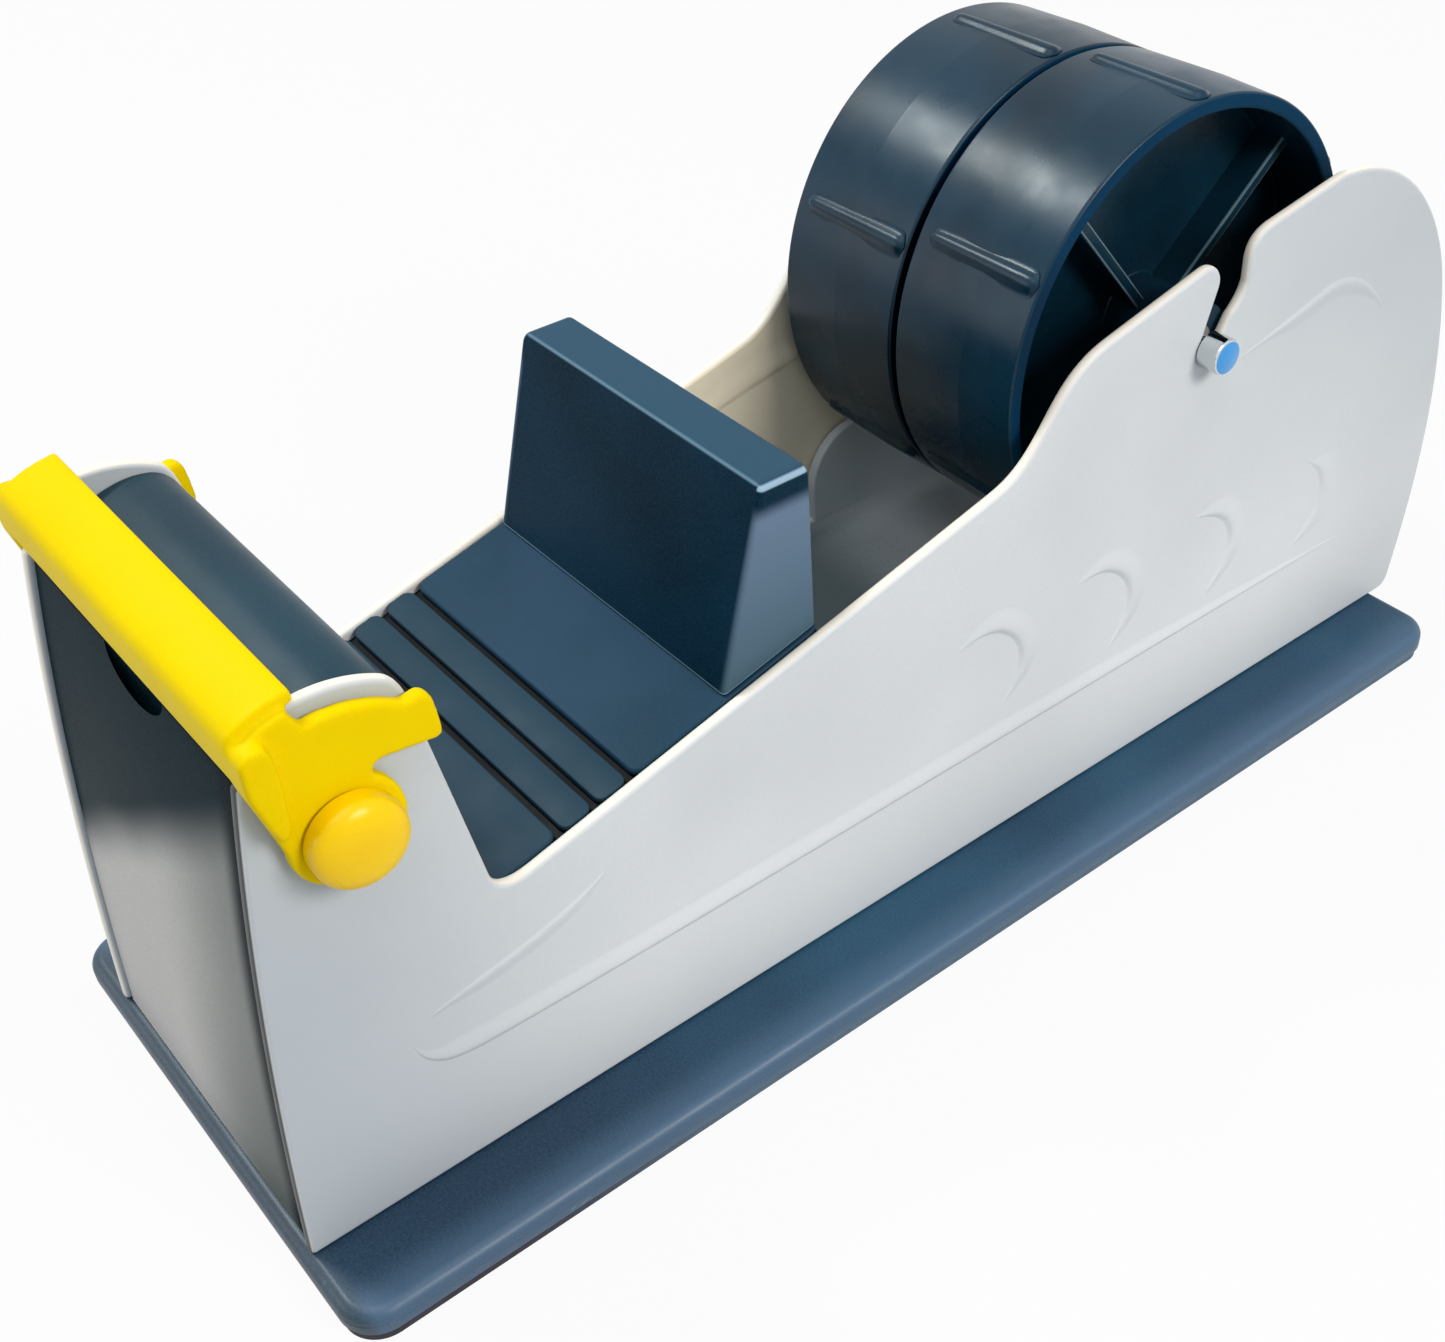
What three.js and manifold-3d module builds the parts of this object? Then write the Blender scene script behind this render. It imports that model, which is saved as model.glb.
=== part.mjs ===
// Bench tape dispenser for two rolls on three inch cores: two side plates on a heavy base, a liftable axle
// with two core hubs, a deck with a tall divider, and a blade under a swinging safety guard.
// Millimetres, +X to the dispenser's right, +Y to the rear (the roll end), +Z up. The origin is under the
// middle of the whole part, on the surface that it stands on.
import * as THREE from 'three';
import { mergeVertices } from 'three/addons/utils/BufferGeometryUtils.js';
import Module from 'manifold-3d';

// Shared fits
const GAP = 0.3;
const SLIP = 0.15;
const OVERRUN = 5;
const WELD = 0.0001;
const MERGE_DISTANCE = 0.02;

// Base
const BASE_MARGIN = 14.7;
const REAR_OVERHANG = 7;
const BASE_CORNER = 6;
const SOLE_THICKNESS = 1.6;
const SOLE_INSET = 0.5;
const SLAB_THICKNESS = 4.4;
const SLAB_EDGE = 1.5;

// Side plates
const BODY_WIDTH = 63.6;
const PLATE_THICKNESS = 2;
const PLATE_LENGTH = 240.7;
const PLATE_HEIGHT = 97;
const PLATE_SETBACK = 1.3;
const PLATE_EDGE = 0.5;
const TAB_REACH = 12;
const TAB_THICKNESS = 2;
const TAB_LENGTH = 16;
const TAB_PLACE_SHARES = [0.1, 0.46, 0.93];

// Axle and its slots
const AXLE_PLACE_SHARE = 0.71375;
const AXLE_HEIGHT_SHARE = 0.78866;
const AXLE_RADIUS = 3;
const AXLE_END_REACH = 4.1;
const AXLE_CHAMFER = 0.5;
const NECK_RADIUS = 1.75;
const SLOT_DEPTH = 16.8;
const LIP_RADIUS = 3.3;

// Core hubs
const HUB_RADIUS = 38;
const HUB_SIDE_SPACE = 3.4;
const HUB_SPACING = 1.2;
const HUB_WALL = 2.8;
const HUB_CHAMFER = 0.8;
const HUB_BACK_CHAMFER = 0.4;
const WEB_THICKNESS = 2.6;
const WEB_PLACE_SHARE = 0.515;
const SPOKE_COUNT = 4;
const SPOKE_THICKNESS = 2;
const SPOKE_HEIGHT = 5.6;
const BOSS_RADIUS = 6.5;
const GRIP_RIB_COUNT = 6;
const GRIP_RIB_RADIUS = 1.4;
const GRIP_RIB_RISE = 0.9;
const GRIP_RIB_START = 2.4;
const GRIP_RIB_END = 0.5;
const RIGHT_HUB_TURN_DEG = 29.5;
const LEFT_HUB_TURN_DEG = 34.5;
const SPOKE_TURN_DEG = 10;

// Guard
const PIVOT_FROM_FRONT = 19.8;
const PIVOT_HEIGHT_SHARE = 0.72268;
const GUARD_RADIUS = 21.6;
const GUARD_WALL = 1.8;
const HEAD_CLEARANCE = 1;
const BAR_END_LAP = 0.9;
const GUARD_FRONT_SHARE = 0.4954;
const GUARD_LIP_SHARE = 0.5648;
const GUARD_SWING_DEG = 12;
const ARM_THICKNESS = 2.4;
const ARM_EDGE = 0.4;
const ARM_TOP_DROP = 1.8;
const LOBE_SHARE = 0.3565;
const FRONT_RIB_WIDTH = 2.8;
const FRONT_RIB_RISE = 2;
const SHAFT_RADIUS = 2.5;
const SHAFT_END_GAP = 0.4;
const BUSH_WALL = 1.6;
const CAP_RADIUS = 6.3;
const CAP_HEIGHT = 4.7;
const CAP_SIDE_SHARE = 0.45;
const CAP_BORE_DEPTH = 2;
const SPRING_WIRE_RADIUS = 0.6;
const SPRING_COIL_RADIUS = 4;
const SPRING_TURNS = 8;
const SPRING_LENGTH = 18;
const SPRING_LEG = 5;
const COLLAR_RADIUS = 4.8;
const COLLAR_WIDTH = 5;

// Head: blade, its holder, cover and front panel
const BLADE_THICKNESS = 0.8;
const BLADE_SIDE_GAP = 1;
const BLADE_DEPTH = 15;
const BLADE_HEIGHT_SHARE = 0.5638;
const BLADE_BEHIND_GUARD = 0.8;
const TOOTH_COUNT = 19;
const TOOTH_DEPTH = 2.2;
const HOLDER_DEPTH = 13;
const BLADE_SCREW_SETBACK = 1.5;
const HOLDER_HEIGHT = 5;
const HOLDER_LEG_THICKNESS = 3;
const COVER_WALL = 2;
const COVER_FOOT_DROP = 26.1;
const PANEL_WALL = 2;
const PANEL_INSET = 0.8;
const PANEL_TOP_SHARE = 0.516;
const RECESS_HALF_WIDTH = 8.5;
const RECESS_HEIGHT = 9.3;
const RECESS_DEPTH = 0.9;
const RECESS_OFFSET = 1.8;

// Deck and divider
const DECK_WALL = 2.5;
const DECK_TILT_SHARE = 0.264;
const DECK_BEHIND_PIVOT = 17.9;
const DECK_AT_AXLE = 3.8;
const DECK_REAR_SHARE = 0.39302;
const GROOVE_PLACE_SHARES = [0.3015, 0.4497, 0.598];
const GROOVE_WIDTH = 1.1;
const GROOVE_DEPTH = 1.3;
const DIVIDER_SIDE_GAP = 0.5;
const DIVIDER_TOP_LENGTH = 8;
const DIVIDER_FOOT_LENGTH = 16.8;
const DIVIDER_TOP_ABOVE_AXLE = 9.8;
const DIVIDER_CORNER = 2.4;
const DIVIDER_EDGE = 0.9;

// Roll tray, rear panel and ballast
const TRAY_WALL = 2;
const TRAY_FLOOR_DROP = 51;
const TRAY_FILLET = 4;
const CHEEK_FRONT = 32.7;
const CHEEK_TOP_DROP = 30.3;
const CHEEK_CORNER = 10.7;
const TRAY_LIP = 4;
const TRAY_REAR_SHARE = 0.93904;
const REAR_PANEL_TOP_DROP = 31;
const BALLAST_SIDE_GAP = 2.5;
const BALLAST_END_GAP = 1.1;
const BALLAST_CORNER = 3;

// Screws
const BASE_SCREW_RADIUS = 2;
const BASE_SCREW_HEAD = 3.8;
const SMALL_SCREW_RADIUS = 1.5;
const SMALL_SCREW_HEAD = 2.2;
const SMALL_HEAD_HEIGHT = 1.2;
const SMALL_SCREW_LENGTH = 8;
const BLADE_SCREW_SPREAD = 17;

// Places worked out from the sizes above
const PLATE_FRONT_Y = -(PLATE_SETBACK + PLATE_LENGTH) / 2 + PLATE_SETBACK;
const BASE_LENGTH = PLATE_SETBACK + PLATE_LENGTH - REAR_OVERHANG;
const BASE_WIDTH = BODY_WIDTH + 2 * BASE_MARGIN;
const BASE_MIDDLE_Y = PLATE_FRONT_Y - PLATE_SETBACK + BASE_LENGTH / 2;
const SLAB_TOP = SOLE_THICKNESS + SLAB_THICKNESS;
const OUTER_HALF = BODY_WIDTH / 2;
const INNER_HALF = OUTER_HALF - PLATE_THICKNESS;
const INSIDE_HALF = INNER_HALF - GAP;
const AXLE_FROM_FRONT = AXLE_PLACE_SHARE * PLATE_LENGTH;
const AXLE_Y = PLATE_FRONT_Y + AXLE_FROM_FRONT;
const AXLE_Z = SLAB_TOP + AXLE_HEIGHT_SHARE * PLATE_HEIGHT;
const AXLE_HALF_LENGTH = OUTER_HALF + AXLE_END_REACH;
const PIVOT_Y = PLATE_FRONT_Y + PIVOT_FROM_FRONT;
const PIVOT_Z = SLAB_TOP + PIVOT_HEIGHT_SHARE * PLATE_HEIGHT;
const SEAT_RADIUS = NECK_RADIUS + GAP;
const HUB_WIDTH = INNER_HALF - HUB_SPACING / 2 - HUB_SIDE_SPACE;
const GUARD_INNER_RADIUS = GUARD_RADIUS - GUARD_WALL;
const GUARD_FRONT = GUARD_FRONT_SHARE * GUARD_RADIUS;
const GUARD_LIP_HEIGHT = GUARD_LIP_SHARE * GUARD_RADIUS;
const LOBE_RADIUS = LOBE_SHARE * GUARD_RADIUS;
const HEAD_RADIUS = GUARD_INNER_RADIUS - HEAD_CLEARANCE;
const ARM_TOP_RADIUS = HEAD_RADIUS - ARM_TOP_DROP;
const ARM_INNER = OUTER_HALF + GAP;
const ARM_OUTER = ARM_INNER + ARM_THICKNESS;
const BAR_HALF_LENGTH = ARM_INNER + BAR_END_LAP;
const SHAFT_HALF_LENGTH = ARM_OUTER + GAP + CAP_BORE_DEPTH - SHAFT_END_GAP;
const BLADE_ABOVE_PIVOT = BLADE_HEIGHT_SHARE * HEAD_RADIUS;
const BLADE_HALF_WIDTH = INSIDE_HALF - BLADE_SIDE_GAP;
const DECK_FRONT = PIVOT_FROM_FRONT + DECK_BEHIND_PIVOT;
const DECK_REAR = DECK_REAR_SHARE * PLATE_LENGTH;
const TRAY_REAR = TRAY_REAR_SHARE * (PLATE_LENGTH - AXLE_FROM_FRONT);
const DIVIDER_REAR = DECK_REAR - GAP;
const DIVIDER_SCREW_PLACE = DIVIDER_REAR - DIVIDER_FOOT_LENGTH / 2;
const DIVIDER_HALF_WIDTH = INSIDE_HALF - DIVIDER_SIDE_GAP;
const DECK_TILT = Math.atan(DECK_TILT_SHARE);
const SWEEP_RADIUS = Math.hypot(GUARD_FRONT - GUARD_WALL, GUARD_LIP_HEIGHT) - GAP;
const TRAY_FLOOR_Z = AXLE_Z - TRAY_FLOOR_DROP;

const wasm = await Module();
wasm.setup();

const radians = THREE.MathUtils.degToRad;

function paint(color, roughness, metalness = 0) {
  return new THREE.MeshStandardMaterial({ color, roughness, metalness });
}

const PLATE_GREY = paint('#c9cdd2', 0.55);
const CHARCOAL = paint('#2c3844', 0.5);
const BASE_BLUE = paint('#26394b', 0.45);
const GLOSS_BLACK = paint('#22282d', 0.12);
const GUARD_YELLOW = paint('#f5e000', 0.5);
const CAP_YELLOW = paint('#fbc712', 0.45);
const RUBBER_BLACK = paint('#1b1b1c', 0.9);
const CHROME = paint('#c8ccd0', 0.15, 1);
const BLADE_STEEL = paint('#b9bcbf', 0.3, 1);
const ZINC = paint('#a9adb0', 0.4, 1);
const CAST_IRON = paint('#4a4c4f', 0.7, 0.6);
const NYLON = paint('#dcdad2', 0.5);

// Booleans on closed geometries
function solidOf(geometry) {
  const plain = geometry.clone();
  plain.deleteAttribute('normal');
  plain.deleteAttribute('uv');
  const merged = mergeVertices(plain, WELD);
  return new wasm.Manifold(
    new wasm.Mesh({
      numProp: 3,
      vertProperties: new Float32Array(merged.attributes.position.array),
      triVerts: new Uint32Array(merged.index.array),
    }),
  );
}

function geometryOf(solid) {
  const mesh = solid.getMesh();
  const geometry = new THREE.BufferGeometry();
  geometry.setAttribute('position', new THREE.BufferAttribute(new Float32Array(mesh.vertProperties), 3));
  geometry.setIndex(new THREE.BufferAttribute(new Uint32Array(mesh.triVerts), 1));
  geometry.computeVertexNormals();
  return geometry;
}

function joined(geometries) {
  return geometryOf(geometries.map(solidOf).reduce((whole, next) => whole.add(next)));
}

function cut(geometry, cutters) {
  return geometryOf(cutters.map(solidOf).reduce((whole, next) => whole.subtract(next), solidOf(geometry)));
}

function common(first, second) {
  return geometryOf(solidOf(first).intersect(solidOf(second)));
}

// The outline's points without near repeats where two curves meet
function cleanOutline(shape, curveSegments) {
  const points = shape.getPoints(curveSegments);
  const kept = points.filter((point, index) => {
    const before = points[(index + points.length - 1) % points.length];
    return point.distanceTo(before) > MERGE_DISTANCE;
  });
  return new THREE.Shape(kept);
}

function extruded(shape, depth, edge, curveSegments) {
  return new THREE.ExtrudeGeometry(cleanOutline(shape, curveSegments), {
    depth: depth - 2 * edge,
    bevelEnabled: edge > 0,
    bevelThickness: edge,
    bevelSize: edge,
    bevelOffset: -edge,
    bevelSegments: 2,
  });
}

// A side view drawn in (Y, Z) and drawn out along X from one place to another
function acrossWidth(shape, fromX, toX, edge = 0, curveSegments = 12) {
  const geometry = extruded(shape, toX - fromX, edge, curveSegments);
  const axes = new THREE.Matrix4().makeBasis(
    new THREE.Vector3(0, 1, 0),
    new THREE.Vector3(0, 0, 1),
    new THREE.Vector3(1, 0, 0),
  );
  return geometry.applyMatrix4(axes).translate(fromX + edge, 0, 0);
}

// A plan view drawn in (X, Y) and raised along Z
function raised(shape, fromZ, toZ, edge = 0, curveSegments = 8) {
  return extruded(shape, toZ - fromZ, edge, curveSegments).translate(0, 0, fromZ + edge);
}

// A profile of (radius, place along the axis) turned about X
function turnedAboutX(profile, segments = 32) {
  const points = profile.map(([radius, along]) => new THREE.Vector2(radius, along));
  return new THREE.LatheGeometry(points, segments).rotateZ(-Math.PI / 2);
}

// A profile of (radius, height) turned about Z
function turnedAboutZ(profile, segments = 16) {
  const points = profile.map(([radius, height]) => new THREE.Vector2(radius, height));
  return new THREE.LatheGeometry(points, segments).rotateX(Math.PI / 2);
}

function rodAlongX(radius, fromX, toX, y, z, segments = 24) {
  const rod = new THREE.CylinderGeometry(radius, radius, toX - fromX, segments);
  return rod.rotateZ(Math.PI / 2).translate((fromX + toX) / 2, y, z);
}

function block(fromX, toX, fromY, toY, fromZ, toZ) {
  const box = new THREE.BoxGeometry(toX - fromX, toY - fromY, toZ - fromZ);
  return box.translate((fromX + toX) / 2, (fromY + toY) / 2, (fromZ + toZ) / 2);
}

function roundedRectangle(halfX, halfY, corner, middleY) {
  const shape = new THREE.Shape();
  shape.moveTo(halfX - corner, middleY - halfY);
  shape.absarc(halfX - corner, middleY - halfY + corner, corner, -Math.PI / 2, 0);
  shape.absarc(halfX - corner, middleY + halfY - corner, corner, 0, Math.PI / 2);
  shape.absarc(-halfX + corner, middleY + halfY - corner, corner, Math.PI / 2, Math.PI);
  shape.absarc(-halfX + corner, middleY - halfY + corner, corner, Math.PI, 1.5 * Math.PI);
  return shape;
}

const dispenser = new THREE.Group();

function add(name, geometry, material, parent = dispenser) {
  const mesh = new THREE.Mesh(geometry, material);
  mesh.name = name;
  parent.add(mesh);
  return mesh;
}

// Places on a side plate from shares of its length and height
function onPlate(lengthShare, heightShare) {
  return [PLATE_FRONT_Y + lengthShare * PLATE_LENGTH, SLAB_TOP + heightShare * PLATE_HEIGHT];
}

// Places round the guard's pivot from shares of the head's radius
function onHead(yShare, zShare) {
  return [PIVOT_Y + yShare * HEAD_RADIUS, PIVOT_Z + zShare * HEAD_RADIUS];
}

// Places round the axle from shares of the slot's depth
function byAxle(depthShareY, depthShareZ) {
  return [AXLE_Y + depthShareY * SLOT_DEPTH, AXLE_Z + depthShareZ * SLOT_DEPTH];
}

function byPivot(radius, degrees) {
  return [PIVOT_Y + radius * Math.cos(radians(degrees)), PIVOT_Z + radius * Math.sin(radians(degrees))];
}

// The head of a plate: a clear bay for the guard's front lip, then the round top, about the guard's pivot
const BAY_START_DEG = 135.5;
const BAY_END_DEG = 103.5;
const HEAD_END_DEG = 60;

function drawHead(shape) {
  shape.quadraticCurveTo(...onPlate(0.012, 0.479), ...byPivot(SWEEP_RADIUS, BAY_START_DEG));
  shape.absarc(PIVOT_Y, PIVOT_Z, SWEEP_RADIUS, radians(BAY_START_DEG), radians(BAY_END_DEG), true);
  shape.absarc(PIVOT_Y, PIVOT_Z, HEAD_RADIUS, radians(BAY_END_DEG), radians(HEAD_END_DEG), true);
  shape.quadraticCurveTo(...onHead(0.5984, 0.8087), ...onHead(0.633, 0.6065));
}

function drawDeckEdge(shape) {
  shape.lineTo(...onHead(0.9146, -1.0957));
  shape.quadraticCurveTo(...onHead(0.9518, -1.3243), ...onHead(1.2501, -1.2449));
  shape.lineTo(...onPlate(0.5268, 0.7082));
  shape.bezierCurveTo(...onPlate(0.5725, 0.7381), ...onPlate(0.5683, 0.8536), ...onPlate(0.6203, 0.8845));
}

function drawSlot(shape) {
  const [lipY, lipZ] = byAxle(-0.113, 0.643);
  shape.absarc(lipY, lipZ, LIP_RADIUS, radians(104), radians(-20), true);
  shape.absarc(AXLE_Y, AXLE_Z, SEAT_RADIUS, radians(160), radians(340), false);
  shape.lineTo(...byAxle(0.274, 0.232));
  shape.quadraticCurveTo(...byAxle(0.44, 0.369), ...byAxle(0.47, 0.51));
  shape.lineTo(...byAxle(0.47, 0.714));
  shape.quadraticCurveTo(...byAxle(0.488, 0.946), ...byAxle(0.738, 1));
}

function drawRear(shape) {
  shape.lineTo(...onPlate(0.8384, 0.9969));
  shape.bezierCurveTo(...onPlate(0.907, 1.0072), ...onPlate(0.9572, 0.8557), ...onPlate(0.9776, 0.701));
  shape.bezierCurveTo(...onPlate(1.0066, 0.4794), ...onPlate(1.0046, 0.2526), ...onPlate(0.9871, 0.0258));
  shape.quadraticCurveTo(...onPlate(0.9854, 0), ...onPlate(0.9734, 0));
}

function plateOutline() {
  const shape = new THREE.Shape();
  shape.moveTo(...onPlate(0, 0));
  drawHead(shape);
  drawDeckEdge(shape);
  drawSlot(shape);
  drawRear(shape);
  return shape;
}

function tabPlaces() {
  return TAB_PLACE_SHARES.map((share) => PLATE_FRONT_Y + share * PLATE_LENGTH);
}

const SCREW_X = INNER_HALF - TAB_REACH / 2;
const TAB_TOP = SLAB_TOP + TAB_THICKNESS;

function sidePlate(side) {
  const [fromX, toX] = side > 0 ? [INNER_HALF, OUTER_HALF] : [-OUTER_HALF, -INNER_HALF];
  const sheet = acrossWidth(plateOutline(), fromX, toX, PLATE_EDGE, 9);
  const rootX = side * (INNER_HALF + PLATE_THICKNESS / 2);
  const tipX = side * (INNER_HALF - TAB_REACH);
  const [tabFrom, tabTo] = [Math.min(rootX, tipX), Math.max(rootX, tipX)];
  const tabs = tabPlaces().map((y) =>
    block(tabFrom, tabTo, y - TAB_LENGTH / 2, y + TAB_LENGTH / 2, SLAB_TOP, TAB_TOP),
  );
  const bushHole = rodAlongX(
    SHAFT_RADIUS + SLIP + BUSH_WALL + SLIP,
    fromX - OVERRUN,
    toX + OVERRUN,
    PIVOT_Y,
    PIVOT_Z,
  );
  const screwHoles = tabPlaces().map((y) => screwRod(BASE_SCREW_RADIUS + SLIP, side * SCREW_X, y));
  return cut(joined([sheet, ...tabs]), [bushHole, ...screwHoles]);
}

function screwRod(radius, x, y) {
  const rod = new THREE.CylinderGeometry(radius, radius, TAB_TOP + 2 * OVERRUN, 16);
  return rod.rotateX(Math.PI / 2).translate(x, y, TAB_TOP / 2);
}

function addSidePlates() {
  add('right_side_plate', sidePlate(1), PLATE_GREY);
  add('left_side_plate', sidePlate(-1), PLATE_GREY);
}

// Countersunk screws come up through the slab into the plates' tabs
function baseScrew(growth) {
  const bottom = SOLE_THICKNESS + GAP - growth;
  const coneHeight = BASE_SCREW_HEAD - BASE_SCREW_RADIUS;
  const top = TAB_TOP + GAP + growth;
  return turnedAboutZ([
    [0, bottom],
    [BASE_SCREW_HEAD + growth, bottom],
    [BASE_SCREW_RADIUS + growth, bottom + coneHeight + growth],
    [BASE_SCREW_RADIUS + growth, top],
    [0, top],
  ]);
}

function screwPlaces() {
  return [1, -1].flatMap((side) => tabPlaces().map((y) => [side * SCREW_X, y]));
}

function addBase() {
  const outline = roundedRectangle(BASE_WIDTH / 2, BASE_LENGTH / 2, BASE_CORNER, BASE_MIDDLE_Y);
  const slab = raised(outline, SOLE_THICKNESS, SLAB_TOP, SLAB_EDGE);
  const sockets = screwPlaces().map(([x, y]) => baseScrew(SLIP).translate(x, y, 0));
  const sinks = screwPlaces().map(([x, y]) => {
    const sink = new THREE.CylinderGeometry(BASE_SCREW_HEAD + SLIP, BASE_SCREW_HEAD + SLIP, OVERRUN, 16);
    return sink.rotateX(Math.PI / 2).translate(x, y, SOLE_THICKNESS + GAP - OVERRUN / 2);
  });
  add('base_slab', cut(slab, [...sockets, ...sinks]), BASE_BLUE);
  const soleOutline = roundedRectangle(
    BASE_WIDTH / 2 - SOLE_INSET,
    BASE_LENGTH / 2 - SOLE_INSET,
    BASE_CORNER - SOLE_INSET,
    BASE_MIDDLE_Y,
  );
  add('base_sole', raised(soleOutline, 0, SOLE_THICKNESS), RUBBER_BLACK);
  screwPlaces().forEach(([x, y], index) => {
    add(`base_screw_${index + 1}`, baseScrew(0), ZINC).position.set(x, y, 0);
  });
}

// Front panel: a curved wall between the plates, with a shallow finger recess under the guard
function panelCurve(inset) {
  const [bottomY] = onPlate(0, 0);
  const [bendY, bendZ] = onPlate(0.012, 0.479);
  const [topY] = byPivot(SWEEP_RADIUS, BAY_START_DEG);
  const topZ = PIVOT_Z + PANEL_TOP_SHARE * HEAD_RADIUS;
  return { start: [bottomY + inset, SLAB_TOP], bend: [bendY + inset, bendZ], end: [topY + inset, topZ] };
}

function addFrontPanel() {
  const outside = panelCurve(PANEL_INSET);
  const inside = panelCurve(PANEL_INSET + PANEL_WALL);
  const shape = new THREE.Shape();
  shape.moveTo(...outside.start);
  shape.quadraticCurveTo(...outside.bend, ...outside.end);
  shape.lineTo(...inside.end);
  shape.quadraticCurveTo(...inside.bend, ...inside.start);
  const wall = acrossWidth(shape, -INSIDE_HALF, INSIDE_HALF, 0, 10);
  const recess = new THREE.SphereGeometry(1, 24, 16).scale(RECESS_HALF_WIDTH, RECESS_DEPTH, RECESS_HEIGHT);
  recess.translate(RECESS_OFFSET, outside.end[0], outside.end[1]);
  add('front_panel', cut(wall, [recess]), GLOSS_BLACK);
}

// Blade holder: a bar on two legs that stand on the slab, bored for the guard shaft
const HOLDER_TOP = PIVOT_Z + BLADE_ABOVE_PIVOT - GAP;
const HOLDER_FRONT_Y = byPivot(SWEEP_RADIUS, BAY_START_DEG)[0] + PANEL_INSET + PANEL_WALL + GAP;

function bladeScrewPlaces() {
  return [BLADE_SCREW_SPREAD, -BLADE_SCREW_SPREAD];
}

function bladeScrewHole(radius, x) {
  const rod = new THREE.CylinderGeometry(radius, radius, SMALL_SCREW_LENGTH + 2 * OVERRUN, 16);
  return rod.rotateX(Math.PI / 2).translate(x, PIVOT_Y + BLADE_SCREW_SETBACK, HOLDER_TOP);
}

function addBladeHolder() {
  const rearY = HOLDER_FRONT_Y + HOLDER_DEPTH;
  const bar = block(-INSIDE_HALF, INSIDE_HALF, HOLDER_FRONT_Y, rearY, HOLDER_TOP - HOLDER_HEIGHT, HOLDER_TOP);
  const legs = [1, -1].map((side) => {
    const ends = [side * INSIDE_HALF, side * (INSIDE_HALF - HOLDER_LEG_THICKNESS)];
    return block(Math.min(...ends), Math.max(...ends), HOLDER_FRONT_Y, rearY, SLAB_TOP, HOLDER_TOP);
  });
  const bore = rodAlongX(SHAFT_RADIUS + GAP, -OUTER_HALF, OUTER_HALF, PIVOT_Y, PIVOT_Z);
  const holes = bladeScrewPlaces().map((x) => bladeScrewHole(SMALL_SCREW_RADIUS + SLIP, x));
  const notches = tabPlaces()
    .slice(0, 1)
    .flatMap((y) => [1, -1].map((side) => legNotch(side, y)));
  add('blade_holder', cut(joined([bar, ...legs]), [bore, ...holes, ...notches]), CHARCOAL);
}

// The legs clear the plates' front tabs and their screws
function legNotch(side, y) {
  const halfLength = TAB_LENGTH / 2 + GAP;
  const ends = [side * INNER_HALF, side * (INNER_HALF - TAB_REACH - GAP)];
  return block(
    Math.min(...ends),
    Math.max(...ends),
    y - halfLength,
    y + halfLength,
    SLAB_TOP - OVERRUN,
    TAB_TOP + GAP,
  );
}

// Blade: a strip with a row of teeth that points to the front, just under the guard's lip
function addBlade() {
  const tipY = PIVOT_Y - GUARD_FRONT + BLADE_BEHIND_GUARD;
  const rearY = tipY + BLADE_DEPTH;
  const pitch = (2 * BLADE_HALF_WIDTH) / TOOTH_COUNT;
  const shape = new THREE.Shape();
  shape.moveTo(-BLADE_HALF_WIDTH, tipY + TOOTH_DEPTH);
  for (let tooth = 0; tooth < TOOTH_COUNT; tooth += 1) {
    const left = -BLADE_HALF_WIDTH + tooth * pitch;
    shape.lineTo(left + pitch / 2, tipY);
    shape.lineTo(left + pitch, tipY + TOOTH_DEPTH);
  }
  shape.lineTo(BLADE_HALF_WIDTH, rearY);
  shape.lineTo(-BLADE_HALF_WIDTH, rearY);
  const bottom = PIVOT_Z + BLADE_ABOVE_PIVOT;
  const strip = raised(shape, bottom, bottom + BLADE_THICKNESS);
  const holes = bladeScrewPlaces().map((x) => bladeScrewHole(SMALL_SCREW_RADIUS + SLIP, x));
  add('blade', cut(strip, holes), BLADE_STEEL);
}

function smallScrew() {
  return turnedAboutZ(
    [
      [0, -SMALL_SCREW_LENGTH],
      [SMALL_SCREW_RADIUS, -SMALL_SCREW_LENGTH],
      [SMALL_SCREW_RADIUS, 0],
      [SMALL_SCREW_HEAD, 0],
      [SMALL_SCREW_HEAD, SMALL_HEAD_HEIGHT],
      [0, SMALL_HEAD_HEIGHT],
    ],
    16,
  );
}

function addBladeScrews() {
  const seatZ = PIVOT_Z + BLADE_ABOVE_PIVOT + BLADE_THICKNESS + SLIP;
  bladeScrewPlaces().forEach((x, index) => {
    const screw = add(`blade_screw_${index + 1}`, smallScrew(), ZINC);
    screw.position.set(x, PIVOT_Y + BLADE_SCREW_SETBACK, seatZ);
  });
}

// Head cover: a bent shell over the blade screws, down to the deck, as shares of the head's radius
const COVER_OUTSIDE_SHARES = [
  [-0.293, 0.676],
  [0.059, 0.83],
  [0.239, 0.867],
  [0.436, 0.851],
  [0.532, 0.798],
  [0.606, 0.67],
  [0.644, 0.447],
];
const COVER_INSIDE_SHARES = [
  [0.516, 0.633],
  [0.4255, 0.745],
  [0.213, 0.761],
  [0.053, 0.723],
];

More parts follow.
